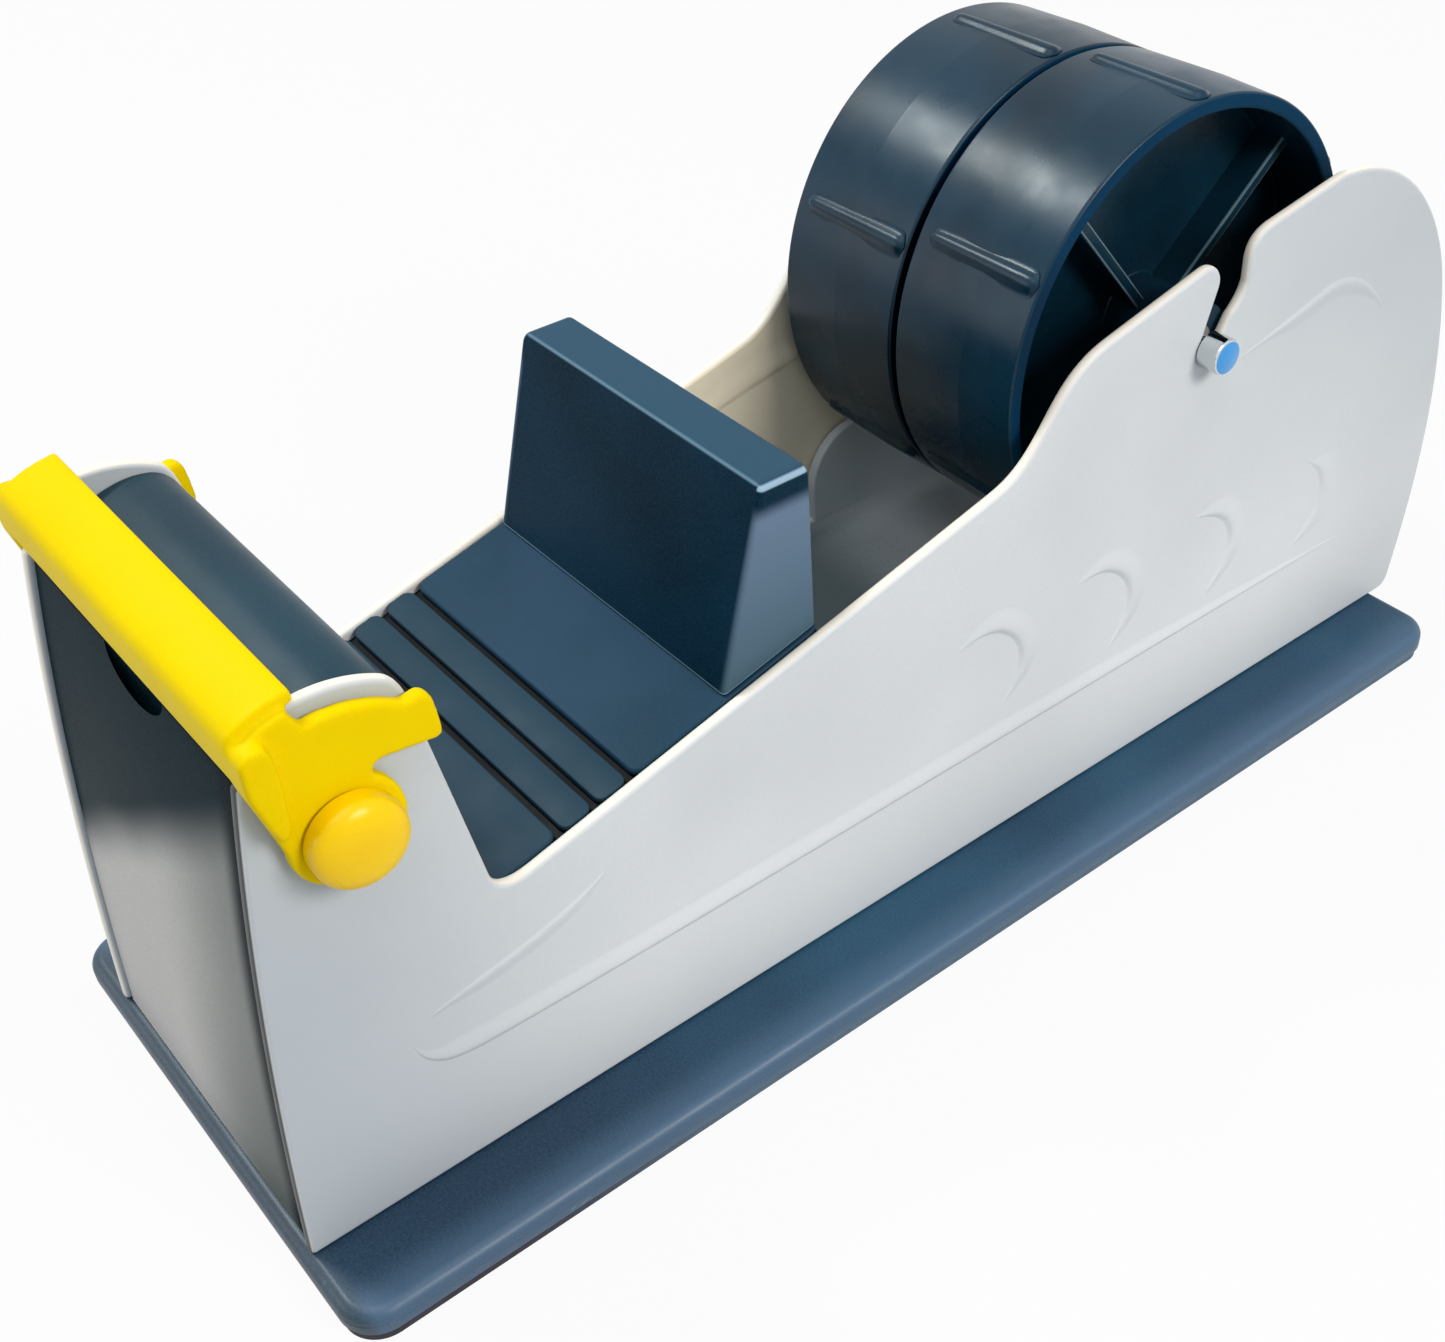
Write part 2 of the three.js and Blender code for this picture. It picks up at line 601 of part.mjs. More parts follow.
function addHeadCover() {
  const place = ([y, z]) => new THREE.Vector2(...onHead(y, z));
  const lipZ = PIVOT_Z + BLADE_ABOVE_PIVOT + BLADE_THICKNESS + GAP;
  const lipFront = place(COVER_OUTSIDE_SHARES[0]).x;
  const footY = PLATE_FRONT_Y + DECK_FRONT - GAP;
  const footZ = PIVOT_Z - COVER_FOOT_DROP;
  const shape = new THREE.Shape([
    new THREE.Vector2(lipFront, lipZ),
    new THREE.Vector2(lipFront + COVER_WALL, lipZ),
    ...COVER_INSIDE_SHARES.map(place).reverse(),
    new THREE.Vector2(footY - COVER_WALL, footZ),
    new THREE.Vector2(footY, footZ),
    ...COVER_OUTSIDE_SHARES.map(place).reverse(),
  ]);
  add('head_cover', acrossWidth(shape, -INSIDE_HALF, INSIDE_HALF), CHARCOAL);
}

// Deck: an inclined bridge. Its top is placed by the distance behind the plates' front
function deckPoint(fromFront, drop = 0) {
  const top = AXLE_Z + DECK_AT_AXLE + DECK_TILT_SHARE * (fromFront - AXLE_FROM_FRONT);
  return new THREE.Vector2(PLATE_FRONT_Y + fromFront, top - drop);
}

function deckGrooves() {
  const openLength = DIVIDER_REAR - DIVIDER_FOOT_LENGTH - DECK_FRONT;
  const places = GROOVE_PLACE_SHARES.map((share) => DECK_FRONT + share * openLength);
  return places.flatMap((place) => [
    deckPoint(place - GROOVE_WIDTH),
    deckPoint(place, GROOVE_DEPTH),
    deckPoint(place + SLIP, 0),
  ]);
}

function addDeck() {
  const frontY = PLATE_FRONT_Y + DECK_FRONT;
  const rearY = PLATE_FRONT_Y + DECK_REAR;
  const shape = new THREE.Shape([
    new THREE.Vector2(frontY, SLAB_TOP),
    deckPoint(DECK_FRONT),
    ...deckGrooves(),
    deckPoint(DECK_REAR),
    new THREE.Vector2(rearY, SLAB_TOP),
    new THREE.Vector2(rearY - DECK_WALL, SLAB_TOP),
    deckPoint(DECK_REAR - DECK_WALL, DECK_WALL),
    deckPoint(DECK_FRONT + DECK_WALL, DECK_WALL),
    new THREE.Vector2(frontY + DECK_WALL, SLAB_TOP),
  ]);
  const bridge = acrossWidth(shape, -INSIDE_HALF, INSIDE_HALF);
  add('deck', cut(bridge, dividerScrewRods(SMALL_SCREW_RADIUS + SLIP)), CHARCOAL);
}

// Divider: a tall rounded block that stands on the deck, held by two screws from below
function dividerScrewRods(radius) {
  return bladeScrewPlaces().map((x) => {
    const rod = new THREE.CylinderGeometry(radius, radius, 2 * (SMALL_SCREW_LENGTH - GAP), 16);
    rod.rotateX(Math.PI / 2 + DECK_TILT);
    const foot = deckPoint(DIVIDER_SCREW_PLACE);
    return rod.translate(x, foot.x, foot.y);
  });
}

// The side view of the divider: a sharp foot on the deck and a rounded top edge at the front and rear
function dividerSide() {
  const topZ = AXLE_Z + DIVIDER_TOP_ABOVE_AXLE;
  const rearY = PLATE_FRONT_Y + DIVIDER_REAR;
  const footFront = deckPoint(DIVIDER_REAR - DIVIDER_FOOT_LENGTH, -GAP);
  const footRear = deckPoint(DIVIDER_REAR, -GAP);
  const topRear = new THREE.Vector2(rearY, topZ);
  const topFront = new THREE.Vector2(rearY - DIVIDER_TOP_LENGTH, topZ);
  const along = (from, to) => from.clone().add(to.clone().sub(from).setLength(DIVIDER_CORNER));
  const shape = new THREE.Shape();
  shape.moveTo(footFront.x, footFront.y);
  shape.lineTo(footRear.x, footRear.y);
  [
    [footRear, topRear, topFront],
    [topRear, topFront, footFront],
  ].forEach(([before, corner, after]) => {
    const start = along(corner, before);
    const end = along(corner, after);
    shape.lineTo(start.x, start.y);
    shape.quadraticCurveTo(corner.x, corner.y, end.x, end.y);
  });
  return shape;
}

function addDivider() {
  const body = acrossWidth(dividerSide(), -DIVIDER_HALF_WIDTH, DIVIDER_HALF_WIDTH, DIVIDER_EDGE, 4);
  add('divider', cut(body, dividerScrewRods(SMALL_SCREW_RADIUS + SLIP)), CHARCOAL);
  bladeScrewPlaces().forEach((x, index) => {
    const screw = add(`divider_screw_${index + 1}`, smallScrew(), ZINC);
    const seat = deckPoint(DIVIDER_SCREW_PLACE);
    const reach = DECK_WALL * Math.cos(DECK_TILT) + SLIP;
    screw.rotation.x = Math.PI + DECK_TILT;
    screw.position.set(x, seat.x + reach * Math.sin(DECK_TILT), seat.y - reach * Math.cos(DECK_TILT));
  });
}

// Roll tray: a trough under the rolls with two cheeks beside them
function traySection() {
  const outer = INSIDE_HALF;
  const inner = INSIDE_HALF - TRAY_WALL;
  const shape = new THREE.Shape();
  shape.moveTo(-outer, TRAY_FLOOR_Z - TRAY_WALL);
  shape.lineTo(outer, TRAY_FLOOR_Z - TRAY_WALL);
  shape.lineTo(outer, AXLE_Z);
  shape.lineTo(inner, AXLE_Z);
  shape.lineTo(inner, TRAY_FLOOR_Z + TRAY_FILLET);
  shape.quadraticCurveTo(inner, TRAY_FLOOR_Z, inner - TRAY_FILLET, TRAY_FLOOR_Z);
  shape.lineTo(TRAY_FILLET - inner, TRAY_FLOOR_Z);
  shape.quadraticCurveTo(-inner, TRAY_FLOOR_Z, -inner, TRAY_FLOOR_Z + TRAY_FILLET);
  shape.lineTo(-inner, AXLE_Z);
  shape.lineTo(-outer, AXLE_Z);
  return shape;
}

function traySide() {
  const frontY = PLATE_FRONT_Y + DECK_REAR + GAP;
  const rearY = AXLE_Y + TRAY_REAR;
  const cheekY = AXLE_Y - CHEEK_FRONT;
  const cheekZ = AXLE_Z - CHEEK_TOP_DROP;
  const shape = new THREE.Shape();
  shape.moveTo(frontY, TRAY_FLOOR_Z - TRAY_WALL);
  shape.lineTo(rearY, TRAY_FLOOR_Z - TRAY_WALL);
  shape.lineTo(rearY, cheekZ);
  shape.lineTo(cheekY + CHEEK_CORNER, cheekZ);
  shape.absarc(cheekY + CHEEK_CORNER, cheekZ - CHEEK_CORNER, CHEEK_CORNER, Math.PI / 2, Math.PI);
  shape.lineTo(cheekY, TRAY_FLOOR_Z + TRAY_LIP);
  shape.lineTo(frontY, TRAY_FLOOR_Z + TRAY_LIP);
  return shape;
}

function addRollTray() {
  const frontY = PLATE_FRONT_Y + DECK_REAR + GAP;
  const rearY = AXLE_Y + TRAY_REAR;
  const channel = extruded(traySection(), rearY - frontY, 0, 6);
  channel.rotateX(Math.PI / 2).translate(0, rearY, 0);
  const side = acrossWidth(traySide(), -OUTER_HALF, OUTER_HALF);
  const rearWall = block(
    -INSIDE_HALF,
    INSIDE_HALF,
    rearY - TRAY_WALL,
    rearY,
    TRAY_FLOOR_Z - TRAY_WALL,
    AXLE_Z - CHEEK_TOP_DROP,
  );
  add('roll_tray', joined([common(channel, side), rearWall]), CHARCOAL);
}

// Rear panel: follows the plates' rear edge and closes the space under the tray
function addRearPanel() {
  const rear = (heightShare, lengthShare) => onPlate(lengthShare, heightShare);
  const [bottomY, bottomZ] = rear(0, 0.9805);
  const [bendY, bendZ] = rear(0.232, 1.0012);
  const [topY] = rear(0.469, 0.9938);
  const topZ = AXLE_Z - REAR_PANEL_TOP_DROP;
  const shape = new THREE.Shape();
  shape.moveTo(bottomY, bottomZ + GAP);
  shape.quadraticCurveTo(bendY, bendZ, topY, topZ);
  shape.lineTo(topY - PANEL_WALL, topZ);
  shape.quadraticCurveTo(bendY - PANEL_WALL, bendZ, bottomY - PANEL_WALL, bottomZ + GAP);
  add('rear_panel', acrossWidth(shape, -INSIDE_HALF, INSIDE_HALF, 0, 8), CHARCOAL);
}

// The ballast lies between the plates' middle and rear tabs
function addBallast() {
  const [, middleTabY, rearTabY] = tabPlaces();
  const middleY = (middleTabY + rearTabY) / 2;
  const halfLength = (rearTabY - middleTabY - TAB_LENGTH) / 2 - BALLAST_END_GAP;
  const outline = roundedRectangle(INSIDE_HALF - BALLAST_SIDE_GAP, halfLength, BALLAST_CORNER, middleY);
  add('ballast_weight', raised(outline, SLAB_TOP, TRAY_FLOOR_Z - TRAY_WALL - GAP), CAST_IRON);
}

// Guard: a curved bar over the blade, a lip in front of it, and an arm on each side
function guardBarShape() {
  const frontY = PIVOT_Y - GUARD_FRONT;
  const lipZ = PIVOT_Z + GUARD_LIP_HEIGHT;
  const innerY = frontY + GUARD_WALL;
  const innerTop = Math.sqrt(GUARD_INNER_RADIUS ** 2 - (GUARD_FRONT - GUARD_WALL) ** 2);
  const shape = new THREE.Shape();
  shape.moveTo(frontY, lipZ);
  shape.lineTo(innerY, lipZ);
  shape.lineTo(innerY, PIVOT_Z + innerTop);
  const innerStart = Math.atan2(innerTop, GUARD_WALL - GUARD_FRONT);
  shape.absarc(PIVOT_Y, PIVOT_Z, GUARD_INNER_RADIUS, innerStart, radians(95), true);
  shape.absarc(PIVOT_Y, PIVOT_Z, GUARD_RADIUS, radians(95), radians(114), false);
  shape.quadraticCurveTo(frontY, PIVOT_Z + 0.88 * GUARD_RADIUS, frontY, PIVOT_Z + 0.775 * GUARD_RADIUS);
  return shape;
}

// Places on an arm as shares of the guard's radius
function onArm(yShare, zShare) {
  return [PIVOT_Y + yShare * GUARD_RADIUS, PIVOT_Z + zShare * GUARD_RADIUS];
}

function drawArmFront(shape) {
  const frontY = PIVOT_Y - GUARD_FRONT;
  shape.moveTo(frontY, PIVOT_Z + 0.79 * GUARD_RADIUS);
  shape.lineTo(frontY, PIVOT_Z + GUARD_LIP_HEIGHT);
  shape.quadraticCurveTo(...onArm(-0.43, 0.32), ...byPivot(LOBE_RADIUS, 176));
}

function armShape() {
  const shape = new THREE.Shape();
  drawArmFront(shape);
  shape.absarc(PIVOT_Y, PIVOT_Z, LOBE_RADIUS, radians(176), radians(416), false);
  shape.lineTo(...onArm(0.24, 0.366));
  shape.lineTo(...onArm(0.6, 0.345));
  shape.quadraticCurveTo(...onArm(0.65, 0.336), ...onArm(0.646, 0.4));
  shape.lineTo(...onArm(0.632, 0.54));
  shape.quadraticCurveTo(...onArm(0.618, 0.664), ...onArm(0.54, 0.692));
  shape.lineTo(...byPivot(ARM_TOP_RADIUS, 54));
  shape.absarc(PIVOT_Y, PIVOT_Z, ARM_TOP_RADIUS, radians(54), radians(96.5), false);
  const shoulder = (GUARD_RADIUS + GUARD_INNER_RADIUS) / 2;
  shape.absarc(PIVOT_Y, PIVOT_Z, shoulder, radians(96.5), radians(112), false);
  return shape;
}

function frontRibShape() {
  const shape = new THREE.Shape();
  drawArmFront(shape);
  const [endY, endZ] = byPivot(LOBE_RADIUS, 176);
  const innerY = PIVOT_Y - GUARD_FRONT + FRONT_RIB_WIDTH;
  shape.lineTo(endY + FRONT_RIB_WIDTH, endZ + FRONT_RIB_WIDTH);
  shape.quadraticCurveTo(innerY, PIVOT_Z + GUARD_LIP_HEIGHT / 2, innerY, PIVOT_Z + GUARD_LIP_HEIGHT);
  shape.lineTo(innerY, PIVOT_Z + 0.79 * GUARD_RADIUS);
  return shape;
}

function mirroredSpan(side, near, far) {
  return side > 0 ? [near, far] : [-far, -near];
}

function addGuard() {
  const pieces = [acrossWidth(guardBarShape(), -BAR_HALF_LENGTH, BAR_HALF_LENGTH, ARM_EDGE, 8)];
  [1, -1].forEach((side) => {
    const [armFrom, armTo] = mirroredSpan(side, ARM_INNER, ARM_OUTER);
    pieces.push(acrossWidth(armShape(), armFrom, armTo, ARM_EDGE, 6));
    const [ribFrom, ribTo] = mirroredSpan(side, ARM_INNER + ARM_EDGE, ARM_OUTER + FRONT_RIB_RISE);
    pieces.push(acrossWidth(frontRibShape(), ribFrom, ribTo, ARM_EDGE, 6));
  });
  const bore = rodAlongX(SHAFT_RADIUS + SLIP, -BODY_WIDTH, BODY_WIDTH, PIVOT_Y, PIVOT_Z);
  const capSeats = [1, -1].map((side) => {
    const [seatFrom, seatTo] = mirroredSpan(side, ARM_OUTER, BODY_WIDTH);
    return rodAlongX(CAP_RADIUS + GAP, seatFrom, seatTo, PIVOT_Y, PIVOT_Z, 32);
  });
  add('guard', cut(joined(pieces), [bore, ...capSeats]), GUARD_YELLOW);
}

// Guard shaft with its bushes, caps, spring and collar, about the pivot line
function addGuardShaft() {
  const shaft = rodAlongX(SHAFT_RADIUS, -SHAFT_HALF_LENGTH, SHAFT_HALF_LENGTH, PIVOT_Y, PIVOT_Z);
  add('guard_shaft', shaft, ZINC);
  const bushInner = SHAFT_RADIUS + SLIP;
  const bushOuter = bushInner + BUSH_WALL;
  const bushProfile = [
    [bushInner, 0],
    [bushOuter, 0],
    [bushOuter, PLATE_THICKNESS],
    [bushInner, PLATE_THICKNESS],
    [bushInner, 0],
  ];
  ['right', 'left'].forEach((word, index) => {
    const bush = add(`${word}_shaft_bush`, turnedAboutX(bushProfile, 24), NYLON);
    bush.position.set(index === 0 ? INNER_HALF : -OUTER_HALF, PIVOT_Y, PIVOT_Z);
    const cap = add(`${word}_guard_cap`, guardCap(), CAP_YELLOW);
    cap.rotation.z = index === 0 ? 0 : Math.PI;
    cap.position.set((index === 0 ? 1 : -1) * (ARM_OUTER + GAP), PIVOT_Y, PIVOT_Z);
  });
}

function guardCap() {
  const boreRadius = SHAFT_RADIUS + SLIP;
  const sideHeight = CAP_HEIGHT * CAP_SIDE_SHARE;
  const domeHeight = CAP_HEIGHT - sideHeight;
  const profile = [
    [0, CAP_BORE_DEPTH],
    [boreRadius, CAP_BORE_DEPTH],
    [boreRadius, 0],
    [CAP_RADIUS, 0],
  ];
  const steps = 6;
  for (let step = 0; step <= steps; step += 1) {
    const angle = (step / steps) * (Math.PI / 2);
    profile.push([CAP_RADIUS * Math.cos(angle), sideHeight + domeHeight * Math.sin(angle)]);
  }
  profile[profile.length - 1][0] = 0;
  return turnedAboutX(profile, 28);
}

class SpringPath extends THREE.Curve {
  getPoint(share, target = new THREE.Vector3()) {
    const angle = share * SPRING_TURNS * 2 * Math.PI + Math.PI / 2;
    const along = (share - 0.5) * SPRING_LENGTH;
    const y = SPRING_COIL_RADIUS * Math.cos(angle);
    return target.set(along, y, SPRING_COIL_RADIUS * Math.sin(angle));
  }
}

function addGuardSpring() {
  const sides = 5;
  const section = new THREE.Shape();
  for (let side = 0; side < sides; side += 1) {
    const angle = (side / sides) * 2 * Math.PI;
    const point = [SPRING_WIRE_RADIUS * Math.cos(angle), SPRING_WIRE_RADIUS * Math.sin(angle)];
    if (side === 0) {
      section.moveTo(...point);
    } else {
      section.lineTo(...point);
    }
  }
  const coil = new THREE.ExtrudeGeometry(section, { steps: SPRING_TURNS * 10, extrudePath: new SpringPath() });
  add('guard_spring', coil, BLADE_STEEL).position.set(0, PIVOT_Y, PIVOT_Z);
  const bore = SHAFT_RADIUS + SLIP;
  const collar = turnedAboutX(
    [
      [bore, 0],
      [COLLAR_RADIUS, 0],
      [COLLAR_RADIUS, COLLAR_WIDTH],
      [bore, COLLAR_WIDTH],
      [bore, 0],
    ],
    24,
  );
  const start = SPRING_LENGTH / 2 + SPRING_WIRE_RADIUS + GAP;
  add('spring_collar', collar, ZINC).position.set(start, PIVOT_Y, PIVOT_Z);
}

// Axle with a narrow neck in each plate's slot, its washers and the two core hubs
function addAxle() {
  const neckStart = INNER_HALF - GAP;
  const neckEnd = OUTER_HALF + GAP;
  const half = [
    [AXLE_RADIUS, neckStart],
    [NECK_RADIUS, neckStart],
    [NECK_RADIUS, neckEnd],
    [AXLE_RADIUS, neckEnd],
    [AXLE_RADIUS, AXLE_HALF_LENGTH - AXLE_CHAMFER],
    [AXLE_RADIUS - AXLE_CHAMFER, AXLE_HALF_LENGTH],
    [0, AXLE_HALF_LENGTH],
  ];
  const mirrored = half.map(([radius, along]) => [radius, -along]).reverse();
  add('axle', turnedAboutX([...mirrored, ...half], 24), CHROME).position.set(0, AXLE_Y, AXLE_Z);
}

function hubProfile() {
  const bore = AXLE_RADIUS + GAP;
  const inner = HUB_RADIUS - HUB_WALL;
  const webStart = WEB_PLACE_SHARE * HUB_WIDTH - WEB_THICKNESS / 2;
  const webEnd = webStart + WEB_THICKNESS;
  return [
    [bore, 0],
    [BOSS_RADIUS, 0],
    [BOSS_RADIUS, webStart],
    [inner, webStart],
    [inner, 0],
    [HUB_RADIUS - HUB_BACK_CHAMFER, 0],
    [HUB_RADIUS, HUB_BACK_CHAMFER],
    [HUB_RADIUS, HUB_WIDTH - HUB_CHAMFER],
    [HUB_RADIUS - HUB_CHAMFER, HUB_WIDTH],
    [inner, HUB_WIDTH],
    [inner, webEnd],
    [BOSS_RADIUS, webEnd],
    [BOSS_RADIUS, HUB_WIDTH],
    [bore, HUB_WIDTH],
    [bore, 0],
  ];
}

function gripRibs(turnDegrees) {
  const ribs = [];
  const length = HUB_WIDTH - GRIP_RIB_START - GRIP_RIB_END;
  const middle = GRIP_RIB_START + length / 2;
  const reach = HUB_RADIUS + GRIP_RIB_RISE - GRIP_RIB_RADIUS;
  for (let index = 0; index < GRIP_RIB_COUNT; index += 1) {
    const angle = radians(turnDegrees + (index * 360) / GRIP_RIB_COUNT);
    const rib = new THREE.CapsuleGeometry(GRIP_RIB_RADIUS, length - 2 * GRIP_RIB_RADIUS, 2, 8);
    rib.rotateZ(Math.PI / 2);
    ribs.push(rib.translate(middle, reach * Math.cos(angle), reach * Math.sin(angle)));
  }
  return ribs;
}

function spokes(turnDegrees) {
  const plates = [];
  const start = WEB_PLACE_SHARE * HUB_WIDTH;
  const end = start + WEB_THICKNESS / 2 + SPOKE_HEIGHT;
  const innerEnd = (AXLE_RADIUS + GAP + BOSS_RADIUS) / 2;
  const outerEnd = HUB_RADIUS - HUB_WALL / 2;
  for (let index = 0; index < SPOKE_COUNT; index += 1) {
    const angle = radians(turnDegrees + (index * 360) / SPOKE_COUNT);
    const spoke = block(start, end, innerEnd, outerEnd, -SPOKE_THICKNESS / 2, SPOKE_THICKNESS / 2);
    plates.push(spoke.rotateX(angle));
  }
  return plates;
}

function addHub(name, startX, turnDegrees) {
  const ring = turnedAboutX(hubProfile(), 60);
  const whole = joined([ring, ...gripRibs(turnDegrees), ...spokes(turnDegrees + SPOKE_TURN_DEG)]);
  add(name, whole, CHARCOAL).position.set(startX, AXLE_Y, AXLE_Z);
}

function washer(thickness) {
  const inner = AXLE_RADIUS + SLIP;
  return turnedAboutX(
    [
      [inner, 0],
      [BOSS_RADIUS, 0],
      [BOSS_RADIUS, thickness],
      [inner, thickness],
      [inner, 0],
    ],
    24,
  );
}

function addRollHolder() {
  addAxle();
  const hubStart = HUB_SPACING / 2;
  const hubEnd = hubStart + HUB_WIDTH;
  addHub('right_hub', hubStart, RIGHT_HUB_TURN_DEG);
  addHub('left_hub', -hubEnd, LEFT_HUB_TURN_DEG);
  const sideThickness = INNER_HALF - 2 * GAP - GAP - hubEnd;
  const middleThickness = HUB_SPACING - 2 * GAP;
  add('right_hub_washer', washer(sideThickness), CHARCOAL).position.set(hubEnd + GAP, AXLE_Y, AXLE_Z);
  add('left_hub_washer', washer(sideThickness), CHARCOAL).position.set(
    -hubEnd - GAP - sideThickness,
    AXLE_Y,
    AXLE_Z,
  );
  add('middle_washer', washer(middleThickness), CHARCOAL).position.set(-middleThickness / 2, AXLE_Y, AXLE_Z);
}

addBase();
addSidePlates();
addFrontPanel();
addBladeHolder();
addBlade();
addBladeScrews();
addHeadCover();
addDeck();
addDivider();
addRollTray();
addRearPanel();
addBallast();
addGuard();
addGuardShaft();
addGuardSpring();
addRollHolder();

export default dispenser;
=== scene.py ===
import math

import bmesh
import bpy
from mathutils import Matrix, Vector


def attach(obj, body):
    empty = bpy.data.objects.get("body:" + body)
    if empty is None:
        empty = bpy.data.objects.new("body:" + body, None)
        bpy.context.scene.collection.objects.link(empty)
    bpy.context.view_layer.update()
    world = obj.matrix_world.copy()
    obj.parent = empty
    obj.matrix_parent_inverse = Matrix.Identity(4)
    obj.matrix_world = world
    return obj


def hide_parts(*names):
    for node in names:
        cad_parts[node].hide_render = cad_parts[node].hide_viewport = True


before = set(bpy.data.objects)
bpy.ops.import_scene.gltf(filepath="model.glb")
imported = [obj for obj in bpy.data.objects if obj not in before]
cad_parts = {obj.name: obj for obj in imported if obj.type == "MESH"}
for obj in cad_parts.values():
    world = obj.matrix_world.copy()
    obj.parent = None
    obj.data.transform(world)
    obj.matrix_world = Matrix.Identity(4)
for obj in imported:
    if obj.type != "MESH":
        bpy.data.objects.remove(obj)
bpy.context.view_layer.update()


# Base slab
# The heavy plate that everything is screwed down to. Cast and painted blue-grey, with a soft rounded
# rim and a fine parting line along its sides.

MM = 0.001
SLAB_HALF_WIDTH = 46.5
SLAB_FRONT = -121.0
SLAB_REAR = 114.0
SLAB_BOTTOM = 1.6
SLAB_TOP = 6.0
SLAB_CORNER = 6.0
SLAB_RIM = 2.0
SLAB_FOOT_EDGE = 0.5
PARTING_LINE_Z = 3.7
PARTING_LINE_HALF = 0.16
PARTING_LINE_PINCH = (0.9972, 0.9989, 1)

BASE_DEEP = "0a2f49"
BASE_PALE = "194660"


def put_down():
    if bpy.context.mode != "OBJECT":
        bpy.ops.object.mode_set(mode="OBJECT")
    bpy.ops.object.select_all(action="DESELECT")


def pick_up(piece):
    put_down()
    piece.select_set(True)
    bpy.context.view_layer.objects.active = piece


def at_bench(piece):
    pick_up(piece)
    bpy.ops.object.mode_set(mode="EDIT")


def mark(piece, kind, wanted):
    """Selects the faces, edges or points on the bench that are wanted, by place in mm and normal."""
    bpy.ops.mesh.select_mode(type=kind)
    bpy.ops.mesh.select_all(action="DESELECT")
    shape = bmesh.from_edit_mesh(piece.data)
    shape.normal_update()
    if kind == "FACE":
        for face in shape.faces:
            if wanted(face.calc_center_median() / MM, face.normal):
                face.select_set(True)
    elif kind == "EDGE":
        for edge in shape.edges:
            one, other = (v.co / MM for v in edge.verts)
            if wanted(one, other):
                edge.select_set(True)
    else:
        for vert in shape.verts:
            if wanted(vert.co / MM, vert.normal):
                vert.select_set(True)
    shape.select_flush_mode()
    bmesh.update_edit_mesh(piece.data)


def mark_all():
    bpy.ops.mesh.select_all(action="SELECT")


def round_marked(width, segments):
    bpy.ops.mesh.bevel(offset=width * MM, segments=segments, affect="EDGES")


def shift(x, y, z):
    bpy.ops.transform.translate(value=(x * MM, y * MM, z * MM))


def new_block(name, low, high):
    """A block between two corners in mm, with its place in its mesh."""
    put_down()
    middle = [(a + b) / 2 * MM for a, b in zip(low, high)]
    size = [(b - a) * MM for a, b in zip(low, high)]
    bpy.ops.mesh.primitive_cube_add(size=1, location=middle, scale=size)
    piece = bpy.context.active_object
    piece.name = piece.data.name = name
    bpy.ops.object.transform_apply(location=True, rotation=True, scale=True)
    return piece


def round_over(piece, width, segments, angle=30, keep_apart=False):
    """Rounds the edges that are sharper than the angle, with a bevel that is then applied."""
    pick_up(piece)
    bevel = piece.modifiers.new("rounded edges", "BEVEL")
    bevel.limit_method = "ANGLE"
    bevel.angle_limit = math.radians(angle)
    bevel.width = width * MM
    bevel.segments = segments
    bevel.use_clamp_overlap = keep_apart
    bpy.ops.object.modifier_apply(modifier=bevel.name)


def smooth_skin(piece, angle):
    pick_up(piece)
    bpy.ops.object.shade_smooth_by_angle(angle=math.radians(angle), keep_sharp_edges=True)
    even = piece.modifiers.new("even shading", "WEIGHTED_NORMAL")
    even.keep_sharp = True
    even.weight = 80
    bpy.ops.object.modifier_apply(modifier=even.name)
    put_down()


def turn_out(piece):
    """Merges doubled points and turns every face outwards."""
    at_bench(piece)
    mark_all()
    bpy.ops.mesh.remove_doubles(threshold=0.001 * MM)
    bpy.ops.mesh.normals_make_consistent(inside=False)
    put_down()


def tone(code):
    """A colour as it looks, written as six hex digits, turned into the linear values of a shader."""
    parts = [int(code[i:i + 2], 16) / 255 for i in (0, 2, 4)]
    linear = [p / 12.92 if p <= 0.04045 else ((p + 0.055) / 1.055) ** 2.4 for p in parts]
    return (*linear, 1.0)


